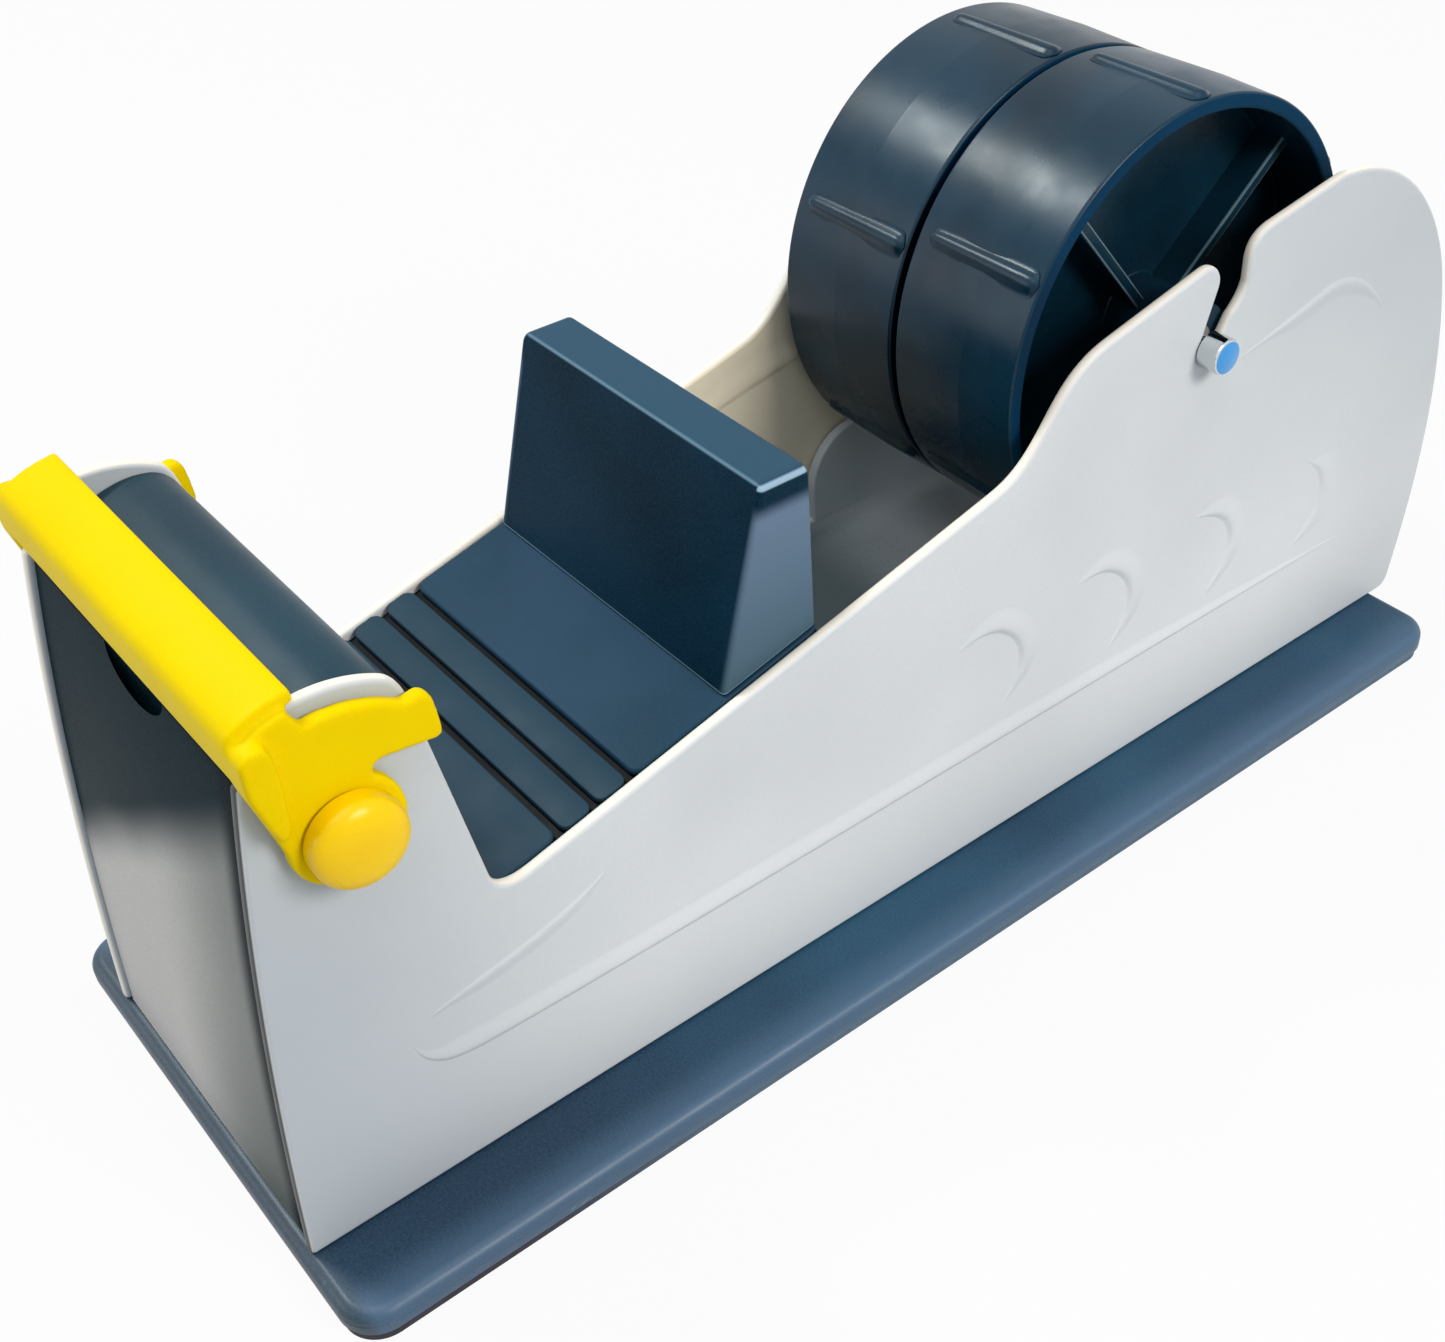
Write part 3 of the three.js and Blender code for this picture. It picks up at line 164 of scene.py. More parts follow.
class Finish:
    """A surface finish: a shader with its nodes laid out from the part's own coordinates."""

    def __init__(self, name):
        self.material = bpy.data.materials.new(name)
        self.material.use_nodes = True
        self.nodes = self.material.node_tree.nodes
        self.links = self.material.node_tree.links
        self.shader = self.nodes["Principled BSDF"]
        self.place = self.nodes.new("ShaderNodeTexCoord").outputs["Object"]
        self.body = None

    def plug(self, socket, value):
        if isinstance(value, bpy.types.NodeSocket):
            self.links.new(value, socket)
        else:
            socket.default_value = value

    def set(self, **values):
        for name, value in values.items():
            self.plug(self.shader.inputs[name.replace("_", " ")], value)

    def noise(self, grain_mm, detail=2.0, roughness=0.5, stretch=None, seed=0.0):
        """Noise whose lumps are about grain_mm wide."""
        place = self.place
        if stretch or seed:
            mapping = self.nodes.new("ShaderNodeMapping")
            mapping.inputs["Scale"].default_value = stretch or (1, 1, 1)
            mapping.inputs["Location"].default_value = (seed, seed * 0.7, seed * 1.3)
            self.links.new(place, mapping.inputs["Vector"])
            place = mapping.outputs["Vector"]
        node = self.nodes.new("ShaderNodeTexNoise")
        node.inputs["Scale"].default_value = 1 / (grain_mm * MM)
        node.inputs["Detail"].default_value = detail
        node.inputs["Roughness"].default_value = roughness
        self.links.new(place, node.inputs["Vector"])
        return node.outputs["Fac"]

    def spread(self, value, from_low, from_high, to_low, to_high, smooth=False):
        node = self.nodes.new("ShaderNodeMapRange")
        node.interpolation_type = "SMOOTHSTEP" if smooth else "LINEAR"
        node.clamp = True
        self.links.new(value, node.inputs["Value"])
        names = ("From Min", "From Max", "To Min", "To Max")
        for name, number in zip(names, (from_low, from_high, to_low, to_high)):
            node.inputs[name].default_value = number
        return node.outputs["Result"]

    def ease(self, *numbers):
        return self.spread(*numbers, smooth=True)

    def uneven(self, grain_mm, detail, low, high, cut=0.3, smooth=False):
        """A value that wanders from low to high in lumps about grain_mm wide."""
        return self.spread(self.noise(grain_mm, detail), cut, 1 - cut, low, high, smooth)

    def sum(self, kind, one, other):
        node = self.nodes.new("ShaderNodeMath")
        node.operation = kind
        self.plug(node.inputs[0], one)
        self.plug(node.inputs[1], other)
        return node.outputs[0]

    def times(self, one, other):
        return self.sum("MULTIPLY", one, other)

    def blend(self, share, one, other):
        node = self.nodes.new("ShaderNodeMix")
        node.data_type = "RGBA"
        self.plug(node.inputs["Factor"], share)
        self.plug(node.inputs["A"], one)
        self.plug(node.inputs["B"], other)
        return node.outputs["Result"]

    def tones(self, share, deep, pale):
        """The body colour, which runs from deep to pale with the share."""
        self.body = self.blend(share, tone(deep), tone(pale))
        self.set(Base_Color=self.body)

    def coat(self, share, colour):
        """Lays a colour over the body colour, as strongly as the share says."""
        self.body = self.blend(share, self.body, tone(colour) if isinstance(colour, str) else colour)
        self.set(Base_Color=self.body)

    def axis(self, letter):
        """The place along one axis, in metres."""
        node = self.nodes.new("ShaderNodeSeparateXYZ")
        self.links.new(self.place, node.inputs["Vector"])
        return node.outputs[letter]

    def reach(self):
        """The distance to the middle plane of the dispenser, in metres."""
        return self.sum("ABSOLUTE", self.axis("X"), 0.0)

    def edges(self):
        """1 on raised edges, 0.5 on flats, 0 in hollows."""
        return self.nodes.new("ShaderNodeNewGeometry").outputs["Pointiness"]

    def grain(self, lump_mm, detail, depth_mm, strength, stretch=None):
        """A fine relief in the light, with lumps about lump_mm wide."""
        node = self.nodes.new("ShaderNodeBump")
        node.inputs["Distance"].default_value = depth_mm * MM
        node.inputs["Strength"].default_value = strength
        self.links.new(self.noise(lump_mm, detail, stretch=stretch), node.inputs["Height"])
        return node.outputs["Normal"]


def finish_with(piece, finish):
    piece.data.materials.clear()
    piece.data.materials.append(finish.material)


def finish_solids(finish, *names):
    """Puts the finish on pieces that keep their solid as it is."""
    for name in names:
        finish_with(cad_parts[name], finish)


def base_paint():
    finish = Finish("base paint, semi-gloss blue-grey")
    along = finish.axis("Y")
    finish.tones(finish.uneven(45, 3, 0, 1, smooth=True), BASE_DEEP, BASE_PALE)
    # Painted shade and highlight: darker towards the front, darker beside the plates and paler out to the
    # rounded rim, and darker again along the front edge.
    finish.coat(finish.ease(along, -0.11, -0.02, 0.8, 0), "0e2239")
    finish.coat(finish.ease(finish.reach(), 0.038, 0.0462, 0, 0.7), "48627d")
    finish.coat(finish.spread(along, -0.1195, -0.1175, 0.9, 0), "263440")
    finish.coat(finish.uneven(0.35, 1, 0, 0.16, 0.35), "42708c")
    scuffs = finish.noise(2.4, 4, 0.7, stretch=(1.0, 0.35, 1.0), seed=3.1)
    worn = finish.spread(scuffs, 0.63, 0.72, 0, 0.7)
    finish.coat(finish.times(worn, finish.spread(finish.edges(), 0.52, 0.57, 0, 1)), "8fb0c4")
    finish.set(
        Roughness=finish.uneven(9, 3, 0.4, 0.5),
        Specular_IOR_Level=0.34,
        Coat_Weight=0.05,
        Coat_Roughness=0.2,
        Normal=finish.grain(0.5, 2, 0.01, 0.3),
    )
    return finish


slab = new_block(
    "slab_casting",
    (-SLAB_HALF_WIDTH, SLAB_FRONT, SLAB_BOTTOM),
    (SLAB_HALF_WIDTH, SLAB_REAR, SLAB_TOP),
)
at_bench(slab)
mark(slab, "EDGE", lambda a, b: abs(a.z - b.z) > 1)
round_marked(SLAB_CORNER, 12)
mark(slab, "EDGE", lambda a, b: a.z > SLAB_TOP - 0.01 and b.z > SLAB_TOP - 0.01)
round_marked(SLAB_RIM, 6)
mark(slab, "EDGE", lambda a, b: a.z < SLAB_BOTTOM + 0.01 and b.z < SLAB_BOTTOM + 0.01)
round_marked(SLAB_FOOT_EDGE, 2)
for away in (PARTING_LINE_HALF, 0, -PARTING_LINE_HALF):
    mark_all()
    bpy.ops.mesh.bisect(plane_co=(0, 0, (PARTING_LINE_Z + away) * MM), plane_no=(0, 0, 1))
mark(slab, "VERT", lambda v, n: abs(v.z - PARTING_LINE_Z) < 0.01)
bpy.ops.transform.resize(value=PARTING_LINE_PINCH, center_override=(0, (SLAB_FRONT + SLAB_REAR) / 2 * MM, 0))
put_down()
smooth_skin(slab, 40)
BASE_PAINT = base_paint()
finish_with(slab, BASE_PAINT)
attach(slab, "frame")
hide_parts("base_slab")


# Sole
# A thin rubber sheet glued under the slab, so that the dispenser doesn't slide or mark the bench.

def sole_rubber():
    finish = Finish("sole rubber, matt slate")
    finish.tones(finish.noise(1.2, 3), "4a6072", "5a7284")
    finish.coat(finish.ease(finish.axis("Y"), -0.1, -0.05, 1, 0), "2e2c38")
    finish.set(
        Roughness=finish.uneven(2, 2, 0.8, 0.95),
        Normal=finish.grain(0.4, 3, 0.05, 0.6),
    )
    return finish


finish_solids(sole_rubber(), "base_sole")


# Side plates
# Two pale grey sheets stamped from 2 mm steel, powder coated, with pressed creases on their outer faces,
# a round head at the front, a hooked slot for the axle, and tabs turned in along the foot.

PLATE_INNER = 29.8
PLATE_OUTER = 31.8
PLATE_RIM = 0.8
PIVOT_Y = -99.9
PIVOT_Z = 76.1
AXLE_Y = 52.1
AXLE_Z = 82.5
TAB_PLACES = (-95.63, -8.98, 104.15)
TAB_HALF_LENGTH = 8.0
TAB_TIP = 17.8
TAB_TOP = 8.0
BUSH_HOLE = 4.4
BUSH_PATCH = 5.6

PLATE_PALE = "ced5da"
PLATE_DEEP = "c3cad0"


def bend(*pulls, steps):
    """Points along a curve from the first pull to the last, drawn to those between, without its start."""
    degree = len(pulls) - 1
    points = []
    for t in (step / steps for step in range(1, steps + 1)):
        shares = [math.comb(degree, k) * t ** k * (1 - t) ** (degree - k) for k in range(degree + 1)]
        points.append(tuple(sum(share * pull[i] for share, pull in zip(shares, pulls)) for i in (0, 1)))
    return points


def arc(middle, radius, from_deg, to_deg, steps):
    turn = (to_deg - from_deg) / steps
    angles = [math.radians(from_deg + turn * step) for step in range(steps + 1)]
    return [(middle[0] + radius * math.cos(a), middle[1] + radius * math.sin(a)) for a in angles]


def without_repeats(points):
    kept = []
    for point in points:
        if not kept or math.dist(point, kept[-1]) > 0.03:
            kept.append(point)
    while math.dist(kept[0], kept[-1]) <= 0.03:
        kept.pop()
    return kept


def line_of(name, points):
    """A line drawn in edit mode: one point in place, then an extrude to each next point."""
    put_down()
    bpy.ops.mesh.primitive_plane_add(size=MM, location=(0, 0, 0))
    piece = bpy.context.active_object
    piece.name = piece.data.name = name
    bpy.ops.object.mode_set(mode="EDIT")
    bpy.ops.mesh.select_mode(type="VERT")
    mark_all()
    bpy.ops.mesh.merge(type="CENTER")
    shift(*points[0])
    for before, after in zip(points, points[1:]):
        step = [(b - a) * MM for a, b in zip(before, after)]
        bpy.ops.mesh.extrude_region_move(TRANSFORM_OT_translate={"value": step})
    mark_all()
    bpy.ops.mesh.remove_doubles(threshold=0.005 * MM)
    mark_all()
    return piece


def drawn(name, outline, from_x, to_x):
    """An outline in (Y, Z), filled with a face and drawn out along X."""
    points = without_repeats(outline)
    piece = line_of(name, [(from_x, y, z) for y, z in points + points[:1]])
    bpy.ops.mesh.edge_face_add()
    mark_all()
    bpy.ops.mesh.extrude_region_move(TRANSFORM_OT_translate={"value": ((to_x - from_x) * MM, 0, 0)})
    mark_all()
    bpy.ops.mesh.normals_make_consistent(inside=False)
    put_down()
    return piece


def cut_out(piece, cutter):
    """Takes the cutter's shape out of the piece and throws the cutter away."""
    pick_up(piece)
    cut = piece.modifiers.new("cut", "BOOLEAN")
    cut.operation = "DIFFERENCE"
    cut.object = cutter
    cut.solver = "EXACT"
    bpy.ops.object.modifier_apply(modifier=cut.name)
    bpy.data.objects.remove(cutter)


def rod_along_x(radius, from_x, to_x, y, z):
    put_down()
    bpy.ops.mesh.primitive_cylinder_add(
        vertices=48, radius=radius * MM, depth=(to_x - from_x) * MM,
        location=((from_x + to_x) / 2 * MM, y * MM, z * MM), rotation=(0, math.pi / 2, 0),
    )
    rod = bpy.context.active_object
    bpy.ops.object.transform_apply(location=True, rotation=True, scale=True)
    return rod


def plate_outline():
    sweep = 14.8
    head = 18.8
    pivot = (PIVOT_Y, PIVOT_Z)
    points = [(-119.7, 6.0)]
    bay = arc(pivot, sweep, 135.5, 103.5, 14)
    points += bend(points[-1], (-116.81, 52.46), bay[0], steps=24)
    points += bay + arc(pivot, head, 103.5, 60, 24)
    points += bend(points[-1], (-88.65, 91.3), (-88.0, 87.5), steps=12)
    points += [(-82.71, 55.5)]
    points += bend(points[-1], (-82.0, 51.2), (-76.4, 52.7), steps=14)
    points += [(7.1, 74.7)]
    points += bend(points[-1], (18.1, 77.6), (17.09, 88.8), (29.61, 91.8), steps=24)
    points += arc((50.2, 93.3), 3.3, 104, -20, 16)
    points += arc((AXLE_Y, AXLE_Z), 2.05, 160, 340, 16)
    points += [(56.7, 86.4)]
    points += bend(points[-1], (59.49, 88.7), (60.0, 91.07), steps=8)
    points += [(60.0, 94.5)]
    points += bend(points[-1], (60.3, 98.39), (64.5, 99.3), steps=8)
    points += [(81.4, 102.2)]
    points += bend(points[-1], (98.4, 101.9), (110.7, 88.6), (115.61, 74.0), steps=24)
    points += bend(points[-1], (122.59, 52.5), (122.11, 30.5), (117.89, 8.5), steps=24)
    points += bend(points[-1], (117.49, 6.0), (114.6, 6.0), steps=8)
    return points


def swept(name, line, section, fade, stand):
    """A section in (across, up) swept along a line, scaled along it by the fade and stood in its place."""
    put_down()
    curves = []
    for word, points, order in (("line", line, 4), ("section", section, 0), ("fade", fade, 3)):
        data = bpy.data.curves.new(f"{name}_{word}", "CURVE")
        data.dimensions = "2D"
        data.resolution_u = 10
        spline = data.splines.new("NURBS" if order else "POLY")
        spline.points.add(len(points) - 1)
        size = 1 if word == "fade" else MM
        for point, (along, up) in zip(spline.points, points):
            point.co = (along * size, up * size, 0, 1)
        if order:
            spline.order_u = order
            spline.use_endpoint_u = True
        else:
            spline.use_cyclic_u = True
        curve = bpy.data.objects.new(f"{name}_{word}", data)
        bpy.context.scene.collection.objects.link(curve)
        curves.append(curve)
    path, shape, taper = curves
    path.data.bevel_mode = "OBJECT"
    path.data.bevel_object = shape
    path.data.taper_object = taper
    pick_up(path)
    bpy.ops.object.convert(target="MESH")
    piece = bpy.context.active_object
    bpy.data.objects.remove(shape)
    bpy.data.objects.remove(taper)
    piece.matrix_world = stand
    pick_up(piece)
    bpy.ops.object.transform_apply(location=True, rotation=True, scale=True)
    turn_out(piece)
    return piece


CREASE_SECTION = (
    (0, -0.6), (0, 0), (0.06, 0.22), (0.13, 0.66), (0.2, 0.93), (0.28, 1), (0.4, 0.93), (0.55, 0.72),
    (0.72, 0.38), (0.87, 0.1), (1, 0), (1, -0.6),
)
CREASE_FADE = ((0, 0.0), (0.08, 0.45), (0.22, 1), (0.5, 1.05), (0.78, 1), (0.92, 0.45), (1, 0.0))


def crease(name, line, width, rise, side, face=PLATE_OUTER):
    """A pressed crease that rises steeply at its line, fades out over its width, and dies at its ends."""
    section = [(-across * width, up * rise) for across, up in CREASE_SECTION]
    away = side if face == PLATE_OUTER else -side
    stand = Matrix(((0, 0, away, face * MM * side), (1, 0, 0, 0), (0, 1, 0, 0), (0, 0, 0, 1)))
    return swept(name, line, section, CREASE_FADE, stand)


def plate_paint():
    finish = Finish("plate powder coat, pale grey")
    across, along, height, reach = finish.axis("X"), finish.axis("Y"), finish.axis("Z"), finish.reach()
    finish.tones(finish.uneven(60, 2, 0, 1, smooth=True), PLATE_DEEP, PLATE_PALE)
    finish.coat(finish.uneven(0.4, 1, 0, 0.16, 0.35), "b9c0c8")
    # Painted light and shade: paler low down, darker towards the front and the rear, and darker high up at
    # the rear.
    finish.coat(finish.ease(height, 0.022, 0.052, 0.28, 0), "e4eaee")
    finish.coat(finish.ease(along, -0.118, -0.055, 0.75, 0), "a3adb6")
    finish.coat(finish.ease(along, 0.075, 0.118, 0, 0.35), "aab3bb")
    above = finish.ease(along, 0.035, 0.08, 0, 0.6)
    finish.coat(finish.times(above, finish.spread(height, 0.04, 0.085, 0, 1)), "a8b2ba")
    # Painted highlight: the plates' edges and rounded rims are painted near white.
    rim = finish.spread(reach, 0.0313, 0.0317, 1, 0)
    finish.coat(finish.times(rim, finish.spread(reach, 0.0299, 0.0301, 0, 1)), "e6e2d8")
    # Painted shade: the front edge of the right plate is painted dark.
    front = finish.spread(along, -0.1075, -0.1065, 0.95, 0)
    painted_dark_edge = finish.times(finish.spread(across, 0.0314, 0.0316, 1, 0), front)
    finish.coat(finish.times(painted_dark_edge, finish.spread(across, 0.0299, 0.0301, 0, 1)), "162026")
    # Painted light: the inner faces are painted paler and warmer towards the rear.
    inside = finish.spread(reach, 0.0299, 0.0304, 1, 0)
    behind = finish.ease(along, -0.075, -0.030, 0, 1)
    finish.coat(finish.times(inside, behind), "eee6d0")
    finish.set(
        Roughness=finish.uneven(7, 3, 0.4, 0.52),
        Specular_IOR_Level=0.35,
        Normal=finish.grain(0.7, 2, 0.015, 0.3),
    )
    return finish


def joined_piece(name, pieces):
    pick_up(pieces[0])
    for piece in pieces[1:]:
        piece.select_set(True)
    bpy.context.view_layer.objects.active = pieces[0]
    bpy.ops.object.join()
    whole = bpy.context.active_object
    whole.name = whole.data.name = name
    put_down()
    return whole


CREASE_LINES = {
    "foot_line": (
        4.0, 0.42,
        ((-98.5, 34.4), (-98.2, 31.7), (-96.7, 29.3), (-94.4, 27.5), (-91.0, 26.7), (-85.7, 26.4),
         (-76.0, 26.2), (-56.2, 26.0), (-6.9, 26.1), (40.0, 26.4), (70.0, 26.6), (94.0, 26.9), (99.0, 27.0)),
    ),
    "front_light": (
        -2.6, 0.24,
        ((-96.6, 36.9), (-94.0, 37.9), (-88.6, 39.2), (-84.2, 40.0), (-79.7, 40.9), (-75.2, 42.2),
         (-70.5, 43.6), (-67.2, 45.1), (-64.8, 46.3)),
    ),
    "scallop_one": (
        4.6, 0.48, ((-0.5, 49.2), (5.0, 50.6), (10.4, 48.4), (13.7, 43.4), (13.6, 38.6), (9.3, 33.0)),
    ),
    "scallop_two": (
        4.6, 0.48, ((25.2, 49.3), (30.4, 50.3), (35.6, 48.0), (39.2, 42.6), (38.4, 37.4), (33.9, 31.7)),
    ),
    "scallop_three": (4.6, 0.44, ((53.8, 50.0), (60.4, 48.4), (64.0, 43.6), (64.4, 38.8), (58.5, 30.8))),
    "scallop_four": (5.0, 0.36, ((84.0, 48.6), (88.0, 45.2), (89.6, 40.6), (87.6, 35.4), (82.6, 31.0))),
    "rear_light": (
        -3.4, 0.36,
        ((58.5, 77.4), (68.8, 80.0), (76.0, 81.8), (82.6, 83.8), (88.4, 83.2), (94.4, 79.2), (99.4, 72.4)),
    ),
}
INNER_CREASE = ((-6.0, 62.6), (1.0, 64.2), (9.0, 65.8), (17.0, 67.4), (24.0, 68.8))


def side_plate(name, side):
    inner, outer = sorted((side * PLATE_INNER, side * PLATE_OUTER))
    sheet = drawn(name, plate_outline(), inner, outer)
    round_over(sheet, PLATE_RIM, 4, 40)
    at_bench(sheet)
    for away in (-BUSH_PATCH, BUSH_PATCH):
        for normal in ((0, 1, 0), (0, 0, 1)):
            mark_all()
            bpy.ops.mesh.bisect(plane_co=(0, (PIVOT_Y + away) * MM, (PIVOT_Z + away) * MM), plane_no=normal)
    put_down()
    cut_out(sheet, rod_along_x(BUSH_HOLE, -60, 60, PIVOT_Y, PIVOT_Z))
    smooth_skin(sheet, 35)
    tabs = []
    for place in TAB_PLACES:
        root, tip = side * (PLATE_INNER + 1.0), side * TAB_TIP
        tab = new_block(
            name + "_tab",
            (min(root, tip), place - TAB_HALF_LENGTH, SLAB_TOP),
            (max(root, tip), place + TAB_HALF_LENGTH, TAB_TOP),
        )
        round_over(tab, 0.4, 2)
        smooth_skin(tab, 35)
        tabs.append(tab)
    creases = []
    for crease_name, (width, rise, line) in CREASE_LINES.items():
        ridge = crease(name + "_" + crease_name, line, width, rise, side)
        smooth_skin(ridge, 50)
        creases.append(ridge)
    ridge = crease(name + "_inner_line", INNER_CREASE, 5.0, 0.25, side, PLATE_INNER)
    smooth_skin(ridge, 50)
    creases.append(ridge)
    return joined_piece(name, [sheet, *tabs, *creases])


PLATE_PAINT = plate_paint()
for word, side in (("right", 1), ("left", -1)):
    plate = side_plate(word + "_plate_pressing", side)
    finish_with(plate, PLATE_PAINT)
    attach(plate, "frame")
    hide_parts(word + "_side_plate")


# Screws of the base
# Zinc-plated countersunk screws that come up through the slab into the tabs of the side plates.

def zinc_steel():
    finish = Finish("zinc-plated steel")
    finish.tones(finish.noise(0.8, 3), "8f9498", "c2c6c8")
    finish.set(
        Metallic=1.0,
        Roughness=finish.uneven(0.6, 3, 0.28, 0.5),
        Normal=finish.grain(0.25, 2, 0.01, 0.5),
    )
    return finish


ZINC = zinc_steel()
finish_solids(ZINC, *(f"base_screw_{number}" for number in range(1, 7)))


# Front panel
# A 2 mm sheet that closes the front between the plates, in a dark gloss with a pale reflection painted over
# its lower part, with a shallow finger recess under the guard. It is clipped behind the plates' front edges.

PANEL_HALF_WIDTH = 29.5
PANEL_WALL = 2.0
PANEL_EDGE = 0.3
PANEL_FOOT = (-118.9, SLAB_TOP)
PANEL_TOP = (-109.66, 85.8)
RECESS_X = 1.8
RECESS_REACH = (8.5, 0.9, 9.3)
SHEEN_SLANT = 0.641


def panel_gloss():
    finish = Finish("panel gloss, dark with a painted pale reflection")
    height, across = finish.axis("Z"), finish.axis("X")
    # The body colour is the painted pale reflection, darker towards the right.
    finish.tones(finish.ease(across, -0.004, 0.026, 0, 1), "bab9b7", "858885")
    # Painted reflection: darker low down towards the right.
    corner = finish.ease(height, 0.006, 0.05, 1, 0)
    finish.coat(finish.times(corner, finish.spread(across, -0.004, 0.026, 0, 0.95)), "4e5653")
    # Above a slanted line the panel shows its own dark colour; below it the painted pale reflection shows.
    wave = finish.spread(finish.noise(30, 1), 0, 1, -0.002, 0.002)
    slant = finish.sum("ADD", finish.times(across, -SHEEN_SLANT), finish.sum("ADD", height, wave))
    finish.coat(finish.ease(slant, 0.0525, 0.0655, 0, 1), "062028")
    # Painted dark reflection along the right edge, beside the right plate.
    finish.coat(finish.ease(across, 0.0235, 0.028, 0, 0.96), "061218")
    # Painted highlight: a thin pale line along the foot on the left half.
    foot = finish.times(finish.spread(height, 0.0063, 0.0067, 1, 0), finish.spread(across, 0, 0.014, 1, 0))
    finish.coat(foot, "f0e8dc")
    finish.coat(finish.uneven(0.4, 1, 0, 0.1, 0.35), "3f4a50")
    finish.set(
        Roughness=finish.uneven(12, 2, 0.2, 0.26),
        Specular_IOR_Level=0.004,
        Coat_Weight=0.008,
        Coat_Roughness=0.12,
    )
    return finish


outside = [PANEL_FOOT] + bend(PANEL_FOOT, (-116.01, 52.46), PANEL_TOP, steps=24)
panel = drawn(
    "front_panel_sheet",
    outside + [(y + PANEL_WALL, z) for y, z in reversed(outside)],
    -PANEL_HALF_WIDTH,
    PANEL_HALF_WIDTH,
)
round_over(panel, PANEL_EDGE, 3, 40)
put_down()
bpy.ops.mesh.primitive_uv_sphere_add(segments=48, ring_count=24, radius=MM, location=(0, 0, 0))
scoop = bpy.context.active_object
at_bench(scoop)
mark_all()
bpy.ops.transform.resize(value=RECESS_REACH)
shift(RECESS_X, *PANEL_TOP)
put_down()
cut_out(panel, scoop)
smooth_skin(panel, 35)
finish_with(panel, panel_gloss())
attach(panel, "frame")
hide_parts("front_panel")


# Rear panel
# A sheet of the same dark plastic as the tray, curved with the plates' rear edges, under the tray's end.

REAR_FOOT = (116.3, 6.3)


def dark_plastic(name, deep, pale, gloss=0.4, shine=0.14, coarse=1.0):
    finish = Finish(name)
    finish.tones(finish.uneven(32, 3, 0, 1, 0.32, smooth=True), deep, pale)
    finish.coat(finish.uneven(0.32, 1, 0, 0.18 * coarse, 0.36), "2f4a5c")
    finish.set(
        Roughness=finish.uneven(6, 3, gloss - 0.04, gloss + 0.05),
        Specular_IOR_Level=shine,
        Normal=finish.grain(0.45, 2, 0.01, 0.2 * coarse),
    )
    return finish


outer = [REAR_FOOT] + bend(REAR_FOOT, (121.3, 28.5), (119.5, 51.5), steps=16)
rear_panel = drawn(
    "rear_panel_sheet",
    outer + [(y - PANEL_WALL, z) for y, z in reversed(outer)],
    -PANEL_HALF_WIDTH,
    PANEL_HALF_WIDTH,
)
round_over(rear_panel, 0.4, 2, 40)
smooth_skin(rear_panel, 35)
DARK_PLASTIC = dark_plastic("dark plastic, satin", "1c3040", "2b4557")
finish_with(rear_panel, DARK_PLASTIC)
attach(rear_panel, "frame")
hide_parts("rear_panel")


# Ballast
# A cast iron block that lies on the slab under the tray and keeps the dispenser in its place.

def ballast_iron():
    finish = Finish("raw cast iron")
    finish.tones(finish.noise(3, 5), "2d2c2b", "4a4845")
    finish.set(
        Metallic=1.0,
        Roughness=finish.uneven(2, 4, 0.55, 0.8),
        Normal=finish.grain(0.8, 4, 0.12, 0.8),
    )
    return finish


finish_solids(ballast_iron(), "ballast_weight")


# Roll tray
# A moulded trough under the rolls: a floor, a rear wall and a rounded cheek at each side that keeps the
# rolls off the plates. It clips between the plates.

TRAY_FRONT = -24.8
TRAY_REAR = 116.8
TRAY_FOOT = 29.5
TRAY_FLOOR = 31.5
TRAY_TOP = 52.2
TRAY_LIP = 35.5
CHEEK_INNER = 27.5
CHEEK_FRONT = 19.4
CHEEK_CORNER = 10.7
TRAY_FILLET = 4.0

trough = new_block(
    "roll_tray_moulding",
    (-PANEL_HALF_WIDTH, TRAY_FRONT - 2, TRAY_FOOT),
    (PANEL_HALF_WIDTH, TRAY_REAR, TRAY_TOP),
)
hollow = new_block(
    "hollow", (-CHEEK_INNER, TRAY_FRONT - 4, TRAY_FLOOR), (CHEEK_INNER, TRAY_REAR - PANEL_WALL, TRAY_TOP + 4)
)
at_bench(hollow)
mark(hollow, "EDGE", lambda a, b: max(a.z, b.z) < TRAY_FLOOR + 0.1 and abs(a.x - b.x) < 0.1)
round_marked(TRAY_FILLET, 8)
put_down()
cut_out(trough, hollow)
cheek_corner = (CHEEK_FRONT + CHEEK_CORNER, TRAY_TOP - CHEEK_CORNER)
above = drawn(
    "above_the_cheeks",
    [(TRAY_FRONT - 5, TRAY_LIP), (CHEEK_FRONT, TRAY_LIP)]
    + [(y, z) for y, z in reversed(arc(cheek_corner, CHEEK_CORNER, 90, 180, 16))]
    + [(CHEEK_FRONT + CHEEK_CORNER, TRAY_TOP + 5), (TRAY_FRONT - 5, TRAY_TOP + 5)],
    -40,
    40,
)
cut_out(trough, above)
ahead = new_block("ahead", (-40, TRAY_FRONT - 9, 20), (40, TRAY_FRONT, 60))
cut_out(trough, ahead)
turn_out(trough)
round_over(trough, 0.45, 3, 40, keep_apart=True)
smooth_skin(trough, 35)


